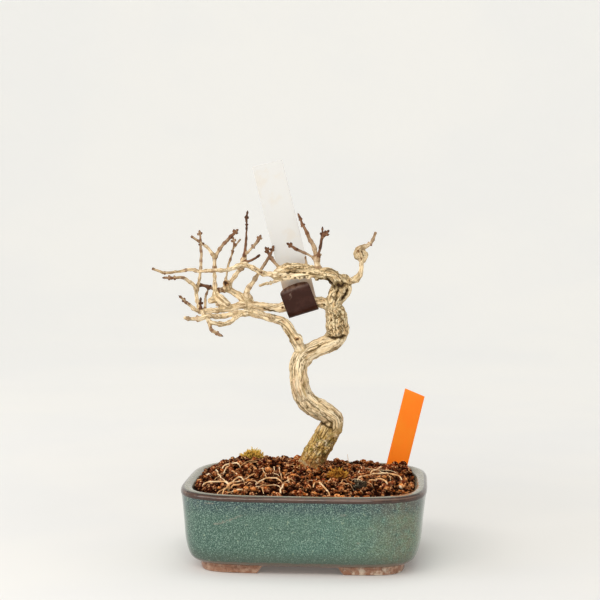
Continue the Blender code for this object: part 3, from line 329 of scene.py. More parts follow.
class Pattern(Enum):
    """How a patch or a relief is spread over a surface."""

    CLOUDS = "clouds"
    CRACKS = "lines where the clouds meet"
    GRAINS = "one tone for each grain"
    WHOLE = "whole"


class Ground(Enum):
    """The coordinates that a finish is laid out in."""

    FRAME = "frame"
    GROWTH = "growth"


@dataclass(frozen=True)
class Patch:
    """A second colour laid over part of a finish.

    A pattern's values between low and high fade the colour in. With a mask, it also fades in
    between the two values of that mesh attribute.
    """

    colour: str
    pattern: Pattern = Pattern.CLOUDS
    pitch_mm: float = 1.0
    low: float = 0.45
    high: float = 0.6
    share: float = 1.0
    mask: str = ""
    within: tuple[float, float] = (0.0, 1.0)
    stretch: tuple[float, float, float] = (1.0, 1.0, 1.0)


@dataclass(frozen=True)
class Relief:
    """Fine unevenness of a surface, too low to be shaped in its mesh."""

    pitch_mm: float
    depth_mm: float
    pattern: Pattern = Pattern.CLOUDS
    stretch: tuple[float, float, float] = (1.0, 1.0, 1.0)
    full_at: float = 1.0


@dataclass(frozen=True)
class Finish:
    """What a surface is made of: its colours, gloss and fine relief."""

    label: str
    colour: str
    roughness: float
    roughness_span: float = 0.0
    roughness_pitch_mm: float = 5.0
    ior: float = 1.5
    sockets: tuple[tuple[str, float], ...] = ()
    patches: tuple[Patch, ...] = ()
    reliefs: tuple[Relief, ...] = ()
    ground: Ground = Ground.FRAME
    glow: str = "#FFFFFF"
    glow_strength: float = 0.0
    glow_mask: str = ""

    def spread(self, tree: bpy.types.NodeTree, place: bpy.types.NodeSocket, pattern: Pattern,
               pitch_mm: float, stretch: tuple[float, float, float]) -> bpy.types.NodeSocket:
        """Lays a pattern out at its real pitch.

        Args:
            tree: Node tree that takes it.
            place: Coordinates of the surface.
            pattern: Clouds, the lines where they meet, or a tone for each grain.
            pitch_mm: Distance between its spots. For grains it only shifts their tones.
            stretch: How much faster it runs along each axis.

        Returns:
            The pattern's value, from nought to one.
        """
        if pattern is Pattern.GRAINS:
            turned = add_math(tree, "MULTIPLY_ADD", kept(tree, "shade"), 700.0, pitch_mm)
            return add_node(tree, "ShaderNodeTexNoise", {"noise_dimensions": "1D"},
                            {"W": turned, "Scale": 1.0, "Detail": 0.0}).outputs["Fac"]
        unit = 1.0 if self.ground is Ground.GROWTH else MM
        laid = add_node(tree, "ShaderNodeVectorMath", {"operation": "MULTIPLY"},
                        {0: place, 1: stretch}).outputs[0]
        clouds = add_node(tree, "ShaderNodeTexNoise", {},
                          {"Vector": laid, "Scale": 1 / (pitch_mm * unit), "Detail": 3.0,
                           "Roughness": 0.6}).outputs["Fac"]
        if pattern is Pattern.CLOUDS:
            return clouds
        return add_math(tree, "ABSOLUTE", add_math(tree, "SUBTRACT", clouds, 0.5))

    def material(self) -> bpy.types.Material:
        """Mixes the finish as a node material.

        Returns:
            The material.
        """
        made = bpy.data.materials.new(self.label)
        made.use_nodes = True
        tree = made.node_tree
        shader = tree.nodes["Principled BSDF"]
        shader.inputs["IOR"].default_value = self.ior
        shader.inputs["Roughness"].default_value = self.roughness
        if self.glow_strength:
            shader.inputs["Emission Color"].default_value = linear(self.glow)
            shader.inputs["Emission Strength"].default_value = self.glow_strength
        if self.glow_mask:
            shine = add_math(tree, "MULTIPLY", kept(tree, self.glow_mask), self.glow_strength)
            tree.links.new(shine, shader.inputs["Emission Strength"])
        for name, value in self.sockets:
            shader.inputs[name].default_value = value
        if self.ground is Ground.GROWTH:
            place = kept(tree, "growth", "Vector")
        else:
            place = add_node(tree, "ShaderNodeTexCoord", {}, {}).outputs["Object"]
        tree.links.new(self.mixed_colour(tree, place), shader.inputs["Base Color"])
        self.uneven(tree, place, shader)
        return made

    def mixed_colour(self, tree: bpy.types.NodeTree, place: bpy.types.NodeSocket) -> bpy.types.NodeSocket:
        """Lays each patch over what is already there.

        Args:
            tree: Node tree that takes the patches.
            place: Coordinates of the surface.

        Returns:
            The mixed colour.
        """
        colour: object = linear(self.colour)
        for patch in self.patches:
            covers = []
            if patch.pattern is not Pattern.WHOLE:
                field_value = self.spread(tree, place, patch.pattern, patch.pitch_mm, patch.stretch)
                covers.append((field_value, patch.low, patch.high))
            if patch.mask:
                covers.append((kept(tree, patch.mask), *patch.within))
            cover: object = patch.share
            for value, low, high in covers:
                fade = add_node(tree, "ShaderNodeMapRange", {"interpolation_type": "SMOOTHSTEP"},
                                {"Value": value, "From Min": low, "From Max": high}).outputs[0]
                cover = add_math(tree, "MULTIPLY", fade, cover)
            colour = add_node(tree, "ShaderNodeMix", {"data_type": "RGBA"},
                              {0: cover, 6: colour, 7: linear(patch.colour)}).outputs[2]
        return colour

    def uneven(self, tree: bpy.types.NodeTree, place: bpy.types.NodeSocket, shader: bpy.types.Node) -> None:
        """Varies the gloss and adds the fine relief.

        Args:
            tree: Node tree that takes them.
            place: Coordinates of the surface.
            shader: Node that they lead to.
        """
        if self.roughness_span:
            value = self.spread(tree, place, Pattern.CLOUDS, self.roughness_pitch_mm, (1, 1, 1))
            varied = add_node(tree, "ShaderNodeMapRange", {},
                              {"Value": value, "From Min": 0.3, "From Max": 0.7,
                               "To Min": self.roughness - self.roughness_span,
                               "To Max": self.roughness + self.roughness_span})
            tree.links.new(varied.outputs[0], shader.inputs["Roughness"])
        for relief in self.reliefs:
            value = self.spread(tree, place, relief.pattern, relief.pitch_mm, relief.stretch)
            level = add_node(tree, "ShaderNodeMapRange", {}, {"Value": value, "From Max": relief.full_at})
            inputs = {"Height": level.outputs[0], "Distance": relief.depth_mm * MM, "Strength": 1.0}
            if shader.inputs["Normal"].is_linked:
                inputs["Normal"] = shader.inputs["Normal"].links[0].from_socket
            bump = add_node(tree, "ShaderNodeBump", {}, inputs)
            tree.links.new(bump.outputs[0], shader.inputs["Normal"])


# Stoneware under a thick wood-ash glaze, dipped and fired: glossy, light crystals over a darker
# green, blue where it pools under the lip and brown where it runs thin over an edge. The feet
# and the underside are bare clay. Crystals 0.4 mm apart are drawn 0.55 mm apart so that they show.
# Painted shade darkens its left side and its lower part, and a pale line along the lip is partly a painted
# highlight.
ASH_GLAZE = Finish(
    label="ash_glazed_stoneware",
    colour="#486758",
    roughness=0.12,
    roughness_span=0.03,
    roughness_pitch_mm=9.0,
    ior=1.5,
    patches=(
        Patch("#44695D", pitch_mm=30, low=0.42, high=0.62, share=0.6),
        # Painted shade: darker towards the left side, where the key light falls strongest.
        Patch("#365145", pitch_mm=26, low=0.2, high=0.5, share=0.7, mask="rightness", within=(0, -60)),
        Patch("#6B7E5E", pitch_mm=24, low=0.36, high=0.6, share=0.65, mask="rightness", within=(10, 60)),
        Patch("#293C44", pitch_mm=5, low=0.2, high=0.5, share=0.9, mask="from_rim", within=(16.0, 7.8)),
        Patch("#93AFA0", pitch_mm=0.55, low=0.5, high=0.6, share=0.72),
        Patch("#22403A", pitch_mm=0.7, low=0.5, high=0.6, share=0.66),
        # Painted shade: darker towards the bottom of the body.
        Patch("#4C5448", pitch_mm=12, low=0.2, high=0.4, share=0.65, mask="height", within=(17.0, 7.0)),
        Patch("#9DAE93", pitch_mm=2.2, low=0.62, high=0.72, share=0.5),
        Patch("#2F4A44", pitch_mm=3.0, low=0.56, high=0.7, share=0.4),
        Patch("#8F8B7E", pitch_mm=1.4, low=0.4, high=0.62, share=0.6, mask="blemish", within=(0.15, 0.8)),
        Patch("#7A614A", pitch_mm=4.0, low=0.25, high=0.6, share=0.5, mask="corner", within=(0.5, 1.1)),
        Patch("#6B5B4D", pitch_mm=3.0, low=0.2, high=0.5, share=0.85, mask="height", within=(8.2, 7.2)),
        Patch("#37211A", pattern=Pattern.WHOLE, share=0.95, mask="lip_band", within=(0.1, 0.55)),
        Patch("#5F4030", pitch_mm=5.0, low=0.35, high=0.6, share=0.4, mask="lip_band", within=(0.75, 1.0)),
        # A pale line along the lip: partly thin glaze, partly a painted highlight.
        Patch("#C9AF9C", pitch_mm=18, low=0.36, high=0.56, share=0.6, mask="lip_line_and_highlight", within=(0.35, 1.0)),
        Patch("#87806D", pattern=Pattern.WHOLE, share=0.95, mask="from_rim", within=(2.0, 1.4)),
        Patch("#6C7A70", pitch_mm=2.0, low=0.42, high=0.6, share=0.5, mask="from_rim", within=(1.6, 1.0)),
        Patch("#9B6F57", pattern=Pattern.WHOLE, mask="height", within=(5.6, 5.1)),
        Patch("#C6A68F", pitch_mm=3.2, low=0.46, high=0.68, share=0.65, mask="height", within=(5.4, 4.8)),
        Patch("#6E4A36", pitch_mm=2.0, low=0.5, high=0.68, share=0.7, mask="height", within=(5.4, 4.8)),
        Patch("#E0D1BC", pitch_mm=4.5, low=0.46, high=0.62, share=0.75, mask="deposit", within=(0.2, 0.9)),
    ),
    reliefs=(Relief(0.7, 0.03), Relief(7.0, 0.22)),
)

# Baked clay granules: porous, quite matt, red-brown with darker ones mixed in. Painted shade darkens what
# lies below the heap's surface.
BAKED_CLAY = Finish(
    label="baked_clay_granules",
    colour="#A05420",
    roughness=0.93,
    sockets=(("Specular IOR Level", 0.06),),
    patches=(
        Patch("#330E03", pattern=Pattern.WHOLE, mask="shade", within=(0.48, 0.14)),
        Patch("#E2914F", pattern=Pattern.WHOLE, mask="shade", within=(0.5, 0.86)),
        Patch("#E8D3B4", pattern=Pattern.WHOLE, mask="shade", within=(0.96, 1.0)),
        Patch("#5B2521", pattern=Pattern.GRAINS, pitch_mm=3.0, low=0.56, high=0.62, share=0.7),
        Patch("#9A4520", pattern=Pattern.GRAINS, pitch_mm=11.0, low=0.54, high=0.6, share=0.55),
        Patch("#421300", pitch_mm=1.4, low=0.48, high=0.56, share=0.9),
        Patch("#F3BA84", pitch_mm=1.1, low=0.54, high=0.61, share=0.85),
        # Painted shade in the gaps: darker below the heap's surface.
        Patch("#220600", pattern=Pattern.WHOLE, share=0.97, mask="depth", within=(-1.9, -0.1)),
    ),
    reliefs=(Relief(0.6, 0.16),),
)

# Old bark on living wood: dry, matt plates split lengthwise by dark furrows, with algae low down
# and young brown skin on the shoots. Streaks run about six times as long as they are wide.
BARK = Finish(
    label="furrowed_bark",
    colour="#F3D9AF",
    roughness=0.85,
    sockets=(("Specular IOR Level", 0.2),),
    ground=Ground.GROWTH,
    patches=(
        Patch("#CFA683", pitch_mm=9.0, low=0.5, high=0.62, share=0.5),
        Patch("#B39E68", pitch_mm=7.0, low=0.53, high=0.63, share=0.6),
        Patch("#FAE7C4", pitch_mm=2.0, low=0.46, high=0.58, share=0.95, stretch=(1, 1, 0.18)),
        Patch("#A68559", pitch_mm=1.3, low=0.52, high=0.64, share=0.8, stretch=(1, 1, 0.18)),
        Patch("#8B7048", pitch_mm=2.0, pattern=Pattern.CRACKS, low=0.03, high=0.0, share=0.8,
              stretch=(1, 1, 0.1)),
        Patch("#C69A42", pitch_mm=4.0, low=0.32, high=0.52, share=0.85, mask="lowness", within=(0.1, 0.7)),
        Patch("#66461C", pitch_mm=1.4, low=0.51, high=0.59, share=0.85, mask="lowness", within=(0.2, 0.9)),
        Patch("#77762A", pitch_mm=2.4, low=0.54, high=0.62, share=0.75, mask="lowness", within=(0.2, 0.8)),
        Patch("#F2D490", pitch_mm=1.2, low=0.53, high=0.6, share=0.85, mask="lowness", within=(0.2, 0.9)),
        Patch("#432A10", pitch_mm=1.0, low=0.55, high=0.61, share=0.85, mask="lowness", within=(0.3, 0.9)),
        Patch("#A06A3A", pitch_mm=2.0, low=0.36, high=0.54, share=0.85, mask="wet_foot", within=(0.0, 0.7)),
        Patch("#D4B282", pitch_mm=4.0, low=0.36, high=0.56, share=0.8, mask="crown", within=(0.2, 1.0)),
        Patch("#F6E2B8", pitch_mm=1.9, low=0.49, high=0.57, share=0.9, stretch=(1, 1, 0.7),
              mask="crown", within=(0.2, 1.0)),
        Patch("#4A3516", pitch_mm=3.0, pattern=Pattern.CRACKS, low=0.045, high=0.0, share=0.9,
              stretch=(1, 1, 0.5), mask="crown", within=(0.2, 0.9)),
        Patch("#9F977C", pitch_mm=2.0, low=0.45, high=0.6, share=0.7, mask="greyness", within=(0.2, 0.9)),
        Patch("#CDB488", pattern=Pattern.WHOLE, share=0.7, mask="seam", within=(0.7, 0.98)),
        Patch("#7A4F36", pattern=Pattern.WHOLE, share=0.95, mask="brown", within=(0.18, 0.75)),
        Patch("#43291E", pattern=Pattern.WHOLE, share=0.85, mask="brown", within=(0.7, 1.05)),
        Patch("#99693C", pattern=Pattern.WHOLE, share=0.85, mask="scar", within=(0.15, 0.6)),
        Patch("#2E1A0C", pattern=Pattern.WHOLE, share=0.95, mask="scar", within=(0.6, 0.85)),
        # Dark furrows; the same dark paints shade into the front's folds and pits.
        Patch("#665027", pattern=Pattern.WHOLE, share=0.85, mask="furrow", within=(0.12, 0.5)),
        Patch("#2F1B0A", pattern=Pattern.WHOLE, share=0.95, mask="furrow", within=(0.55, 0.95)),
    ),
    reliefs=(Relief(0.8, 0.2, stretch=(1, 1, 0.25)), Relief(0.4, 0.08),
             Relief(2.0, 0.25, pattern=Pattern.CRACKS, stretch=(1, 1, 0.1), full_at=0.05)),
)

# Live root skin: smooth, pale and a little waxy, browner where soil sticks to it.
ROOT_SKIN = Finish(
    label="pale_root_skin",
    colour="#E2AB70",
    roughness=0.6,
    patches=(
        Patch("#F9DDB2", pitch_mm=7, low=0.44, high=0.56, share=0.95),
        Patch("#94592C", pitch_mm=5, low=0.53, high=0.65, share=0.75),
    ),
    reliefs=(Relief(0.7, 0.06),),
)

# Cushion moss in winter: dry matt shoots, dark inside and yellow at their points.
WINTER_MOSS = Finish(
    label="winter_moss_shoots",
    colour="#8A6424",
    roughness=0.9,
    sockets=(("Specular IOR Level", 0.2),),
    patches=(
        Patch("#EAC05C", pattern=Pattern.WHOLE, mask="shade", within=(0.2, 0.9)),
        Patch("#A8A23C", pitch_mm=2.6, low=0.48, high=0.6, share=0.65, mask="shade", within=(0.0, 0.8)),
        Patch("#33200D", pattern=Pattern.WHOLE, mask="shade", within=(0.22, 0.0)),
    ),
)
RUSTY_MOSS = Finish(
    label="rusty_moss_shoots",
    colour="#7A4812",
    roughness=0.9,
    sockets=(("Specular IOR Level", 0.2),),
    patches=(
        Patch("#C27E2B", pattern=Pattern.WHOLE, mask="shade", within=(0.25, 0.95)),
        Patch("#D3A946", pitch_mm=3.0, low=0.48, high=0.58, share=0.8, mask="shade", within=(0.2, 0.9)),
        Patch("#35190A", pattern=Pattern.WHOLE, mask="shade", within=(0.22, 0.0)),
    ),
)
DARK_MOSS = Finish(
    label="dark_moss_shoots",
    colour="#3D3122",
    roughness=0.85,
    sockets=(("Specular IOR Level", 0.15),),
    patches=(
        Patch("#948A74", pitch_mm=2.4, low=0.5, high=0.6, share=0.8),
        Patch("#1C100B", pattern=Pattern.WHOLE, mask="shade", within=(0.3, 0.0)),
    ),
)

# Dyed polystyrene sheet, die cut: even strong orange with a soft sheen and faint rolled haze.
ORANGE_STYRENE = Finish(
    label="orange_polystyrene",
    colour="#FB7D00",
    roughness=0.5,
    roughness_span=0.06,
    ior=1.59,
    sockets=(("Specular IOR Level", 0.25),),
    patches=(Patch("#F58A0C", pitch_mm=14, low=0.4, high=0.65, share=0.5),),
    reliefs=(Relief(9.0, 0.03),),
)

# Polyester film tape: milky white on one side, with painted shade where it hangs near the limb.
WHITE_FILM = Finish(
    label="white_polyester_film",
    colour="#D3D3D2",
    roughness=0.5,
    patches=(
        Patch("#D2CCC3", pitch_mm=11, low=0.5, high=0.68, share=0.6),
        # Painted shade of the limb: a warm tint, then darker nearest to it.
        Patch("#E6D0B6", pitch_mm=12, low=0.3, high=0.6, share=0.8, mask="fold", within=(0.1, 0.8)),
        Patch("#B7A194", pattern=Pattern.WHOLE, share=0.6, mask="fold", within=(0.75, 1.0)),
    ),
)
# Its reverse carries a dark brown coat: smooth, with a soft shine, paler towards its free end and with a
# pale mark.
BROWN_COAT = Finish(
    label="brown_coated_film",
    colour="#301206",
    roughness=0.36,
    roughness_span=0.06,
    sockets=(("Specular IOR Level", 0.22),),
    patches=(
        Patch("#40221A", pitch_mm=7, low=0.45, high=0.62, share=0.7),
        Patch("#7A5D4C", pitch_mm=3.0, low=0.3, high=0.6, share=0.8, mask="rim", within=(0.2, 0.8)),
        Patch("#B79F90", pitch_mm=2.0, low=0.46, high=0.6, share=0.6, mask="pale_mark", within=(0.3, 0.9)),
    ),
    reliefs=(Relief(4.0, 0.05),),
)

# Extruded polyethylene mesh: black, waxy and matt.
BLACK_POLYETHYLENE = Finish(
    label="black_polyethylene_mesh",
    colour="#161616",
    roughness=0.55,
    patches=(Patch("#2A241E", pitch_mm=3, low=0.5, high=0.65, share=0.8),),
    reliefs=(Relief(0.6, 0.05),),
)

# Painted studio board, lit through from behind at its far end: plain and matt.
STUDIO_BOARD = Finish(
    label="pale_studio_board",
    colour="#DDDCDA",
    roughness=0.95,
    sockets=(("Specular IOR Level", 0.0),),
    glow="#F3F2EC",
    glow_strength=0.42,
    glow_mask="far",
    patches=(Patch("#D9D9D9", pitch_mm=400, low=0.4, high=0.6),),
)


class MeshPile:
    """Many small meshes on their way into one object, with one value at each point."""

    def __init__(self) -> None:
        """Starts empty."""
        self.points: list[np.ndarray] = []
        self.values: list[np.ndarray] = []
        self.faces: list[tuple[int, ...]] = []
        self.count = 0

    def add(self, points: np.ndarray, faces: Iterable[Sequence[int]],
            value: float | np.ndarray = 0.0) -> None:
        """Adds a mesh.

        Args:
            points: Its points, in millimetres.
            faces: Its faces, as numbers of its points.
            value: The value at all its points or at each.
        """
        start = self.count
        self.faces.extend(tuple(corner + start for corner in face) for face in faces)
        self.points.append(points)
        self.values.append(np.broadcast_to(np.asarray(value, float), len(points)))
        self.count += len(points)

    def made(self, name: str, value_name: str = "") -> bpy.types.Object:
        """Turns the pile into an object in the frame.

        Args:
            name: The object's name.
            value_name: Name of the attribute that keeps the values, if any.

        Returns:
            The object, in the scene.
        """
        mesh = bpy.data.meshes.new(name)
        placed = (np.vstack(self.points) + POT_CENTRE) * MM
        mesh.from_pydata(placed.tolist(), [], self.faces)
        if value_name:
            keep(mesh, value_name, np.concatenate(self.values))
        made = bpy.data.objects.new(name, mesh)
        bpy.context.scene.collection.objects.link(made)
        return made


def keep(mesh: bpy.types.Mesh, name: str, values: np.ndarray) -> None:
    """Stores a value or a vector at each point of a mesh.

    Args:
        mesh: Mesh that takes them.
        name: The attribute's name.
        values: One number or one vector for each point.
    """
    vector = values.ndim == 2
    attribute = mesh.attributes.new(name, "FLOAT_VECTOR" if vector else "FLOAT", "POINT")
    attribute.data.foreach_set("vector" if vector else "value", values.astype(np.float32).ravel())


def vectors(items: bpy.types.bpy_prop_collection, name: str) -> np.ndarray:
    """Reads one vector from each item of a mesh.

    Args:
        items: Its points or their directions.
        name: What holds the vector there.

    Returns:
        Rows of three numbers.
    """
    flat = np.empty(len(items) * 3, np.float32)
    items.foreach_get(name, flat)
    return flat.reshape(-1, 3).astype(float)


def places_of(mesh: bpy.types.Mesh) -> np.ndarray:
    """Gives a mesh's points in millimetres from the middle of the pot."""
    return vectors(mesh.vertices, "co") / MM - POT_CENTRE


def settle(made: bpy.types.Object) -> None:
    """Applies an object's modifiers to its mesh.

    Args:
        made: The object.
    """
    evaluated = made.evaluated_get(bpy.context.evaluated_depsgraph_get())
    mesh = bpy.data.meshes.new_from_object(evaluated)
    made.modifiers.clear()
    made.data = mesh


def absorb(whole: bpy.types.Object, part: bpy.types.Object, align: bool = False) -> None:
    """Adds an object's mesh to another and removes the object.

    Args:
        whole: Object that takes the mesh, after its own points.
        part: Object that goes.
        align: Whether all faces are turned outwards.
    """
    bm = bmesh.new()
    bm.from_mesh(whole.data)
    bm.from_mesh(part.data)
    if align:
        bmesh.ops.recalc_face_normals(bm, faces=bm.faces)
    bm.to_mesh(whole.data)
    bm.free()
    bpy.data.objects.remove(part)


def seat(made: bpy.types.Object, finishes: Sequence[bpy.types.Material], slot: str,
         *nodes: str, sharp_deg: float = 40.0) -> bpy.types.Object:
    """Finishes a piece: shading, materials, its body and the CAD nodes it stands for.

    Args:
        made: The piece.
        finishes: Its materials, or none where its faces have them already.
        slot: The record's material slot; not used.
        nodes: CAD nodes that it replaces.
        sharp_deg: Edges above this angle stay sharp.

    Returns:
        The piece.
    """
    for finish in finishes:
        made.data.materials.append(finish)
    made.data.shade_smooth()
    made.data.set_sharp_from_angle(angle=math.radians(sharp_deg))
    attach(made, BODY)
    if nodes:
        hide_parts(*nodes)
    stood_for = ", ".join(nodes) or "nothing"
    log.info("%s: %d points, stands for %s", made.name, len(made.data.vertices), stood_for)
    return made


def ramp(values: np.ndarray | float, start: float, length: float) -> np.ndarray:
    """Gives nought at a start and one a length further on, or further down if it is below nought."""
    return np.clip((values - start) / length, 0, 1)


def finder_of(points: Iterable[np.ndarray]) -> KDTree:
    """Sorts points so that the nearest to a place is found fast.

    Args:
        points: The points.

    Returns:
        The sorted points, each under its number.
    """
    points = list(points)
    finder = KDTree(len(points))
    for at, point in enumerate(points):
        finder.insert(point, at)
    finder.balance()
    return finder


def noise_at(places: np.ndarray, seed: float = 0.0) -> np.ndarray:
    """Gives smooth noise, from about -1 to 1, at each place.

    Args:
        places: Rows of three numbers, in steps of the noise.
        seed: Shifts the noise.

    Returns:
        One number for each place.
    """
    shift = Vector((seed, 7.3 * seed, 0))
    return np.array([noise.noise(Vector(place) + shift) for place in places])


def run_along(points: np.ndarray) -> np.ndarray:
    """Gives how far along a row of points each lies from the first."""
    return np.concatenate(((0.0,), np.cumsum(np.linalg.norm(np.diff(points, axis=0), axis=1))))


def round_plan(half_width: float, half_depth: float, exponent: float, turns: np.ndarray) -> np.ndarray:
    """Gives points of a rounded rectangle round the middle of the pot.

    Args:
        half_width: Half its width.
        half_depth: Half its depth.
        exponent: How square it is, from two for an ellipse.
        turns: Angles of the points.

    Returns:
        Rows of x and y.
    """
    cos, sin = np.cos(turns), np.sin(turns)
    return np.column_stack((np.sign(cos) * np.abs(cos) ** (2 / exponent) * half_width,
                            np.sign(sin) * np.abs(sin) ** (2 / exponent) * half_depth))


def smooth_path(points: Sequence[Sequence[float]], step_mm: float) -> np.ndarray:
    """Draws a Catmull-Rom curve through points.

    Args:
        points: Rows of numbers, of which the first three are a place.
        step_mm: Distance between the rows of the result.

    Returns:
        Rows of the same numbers along the curve.
    """
    knots = np.array(points, float)
    padded = np.vstack((2 * knots[0] - knots[1], knots, 2 * knots[-1] - knots[-2]))
    rows = []
    for before, start, end, after in zip(padded, padded[1:], padded[2:], padded[3:]):
        count = max(1, round(float(np.linalg.norm((end - start)[:3])) / step_mm))
        t = (np.arange(count) / count)[:, None]
        square = 2 * before - 5 * start + 4 * end - after
        cube = 3 * start - before - 3 * end + after
        rows.append(0.5 * (2 * start + (end - before) * t + square * t ** 2 + cube * t ** 3))
    rows.append(knots[-1:])
    return np.vstack(rows)


def carried_axes(path: np.ndarray) -> np.ndarray:
    """Carries a pair of axes along a path without twisting them.

    Args:
        path: Rows that start with a place.

    Returns:
        For each row its direction, a side and a third axis.
    """
    along = np.gradient(path[:, :3], axis=0)
    along /= np.linalg.norm(along, axis=1, keepdims=True)
    side = np.array((0.0, -1.0, 0.0)) if abs(along[0][1]) < 0.8 else np.array((0.0, 0.0, 1.0))
    axes = []
    for direction in along:
        side = side - direction * side.dot(direction)
        side /= np.linalg.norm(side)
        axes.append((direction, side, np.cross(direction, side)))
    return np.array(axes)


def tube_faces(rings: int, sides: int, flipped: bool = False) -> list[tuple[int, ...]]:
    """Joins rings of points into a tube closed at both ends.

    Args:
        rings: Number of rings, whose points follow each other.
        sides: Points in each.
        flipped: Whether the faces turn the other way.

    Returns:
        The tube's faces.
    """
    faces: list[tuple[int, ...]] = []
    for ring in range(rings - 1):
        for at in range(sides):
            after = (at + 1) % sides
            low, high = ring * sides, (ring + 1) * sides
            face = (low + at, low + after, high + after, high + at)
            faces.append((face[0], *face[:0:-1]) if flipped else face)
    first, last = range(sides), range((rings - 1) * sides, rings * sides)
    faces.append(tuple(first if flipped else reversed(first)))
    faces.append(tuple(reversed(last) if flipped else last))
    return faces


def strip_faces(rows: int, across: int) -> list[tuple[int, ...]]:
    """Joins rows of points into a sheet.

    Args:
        rows: Number of rows, whose points follow each other.
        across: Points in each.

    Returns:
        The sheet's faces.
    """
    return [(row * across + at, row * across + at + 1, (row + 1) * across + at + 1, (row + 1) * across + at)
            for row in range(rows - 1) for at in range(across - 1)]


def sweep(path: np.ndarray, sides: int) -> Shape:
    """Runs a round section along a path.

    Args:
        path: Rows of x, y, z and thickness.
        sides: Points round the section.

    Returns:
        Points and faces of the closed tube.
    """
    axes = carried_axes(path)
    turns = np.linspace(0, math.tau, sides, endpoint=False)
    out = (np.cos(turns)[None, :, None] * axes[:, None, 1]
           + np.sin(turns)[None, :, None] * axes[:, None, 2])
    points = (path[:, None, :3] + out * path[:, None, 3:4] / 2).reshape(-1, 3)
    return points, tube_faces(len(path), sides)


def ball(detail: int) -> Shape:
    """Gives the points and faces of a round ball of radius one.

    Args:
        detail: How many times its twenty faces are divided.

    Returns:
        Its points and faces.
    """
    bm = bmesh.new()
    bmesh.ops.create_icosphere(bm, subdivisions=detail, radius=1)
    points = np.array([vertex.co for vertex in bm.verts])
    faces = [tuple(vertex.index for vertex in face.verts) for face in bm.faces]
    bm.free()
    return points, faces


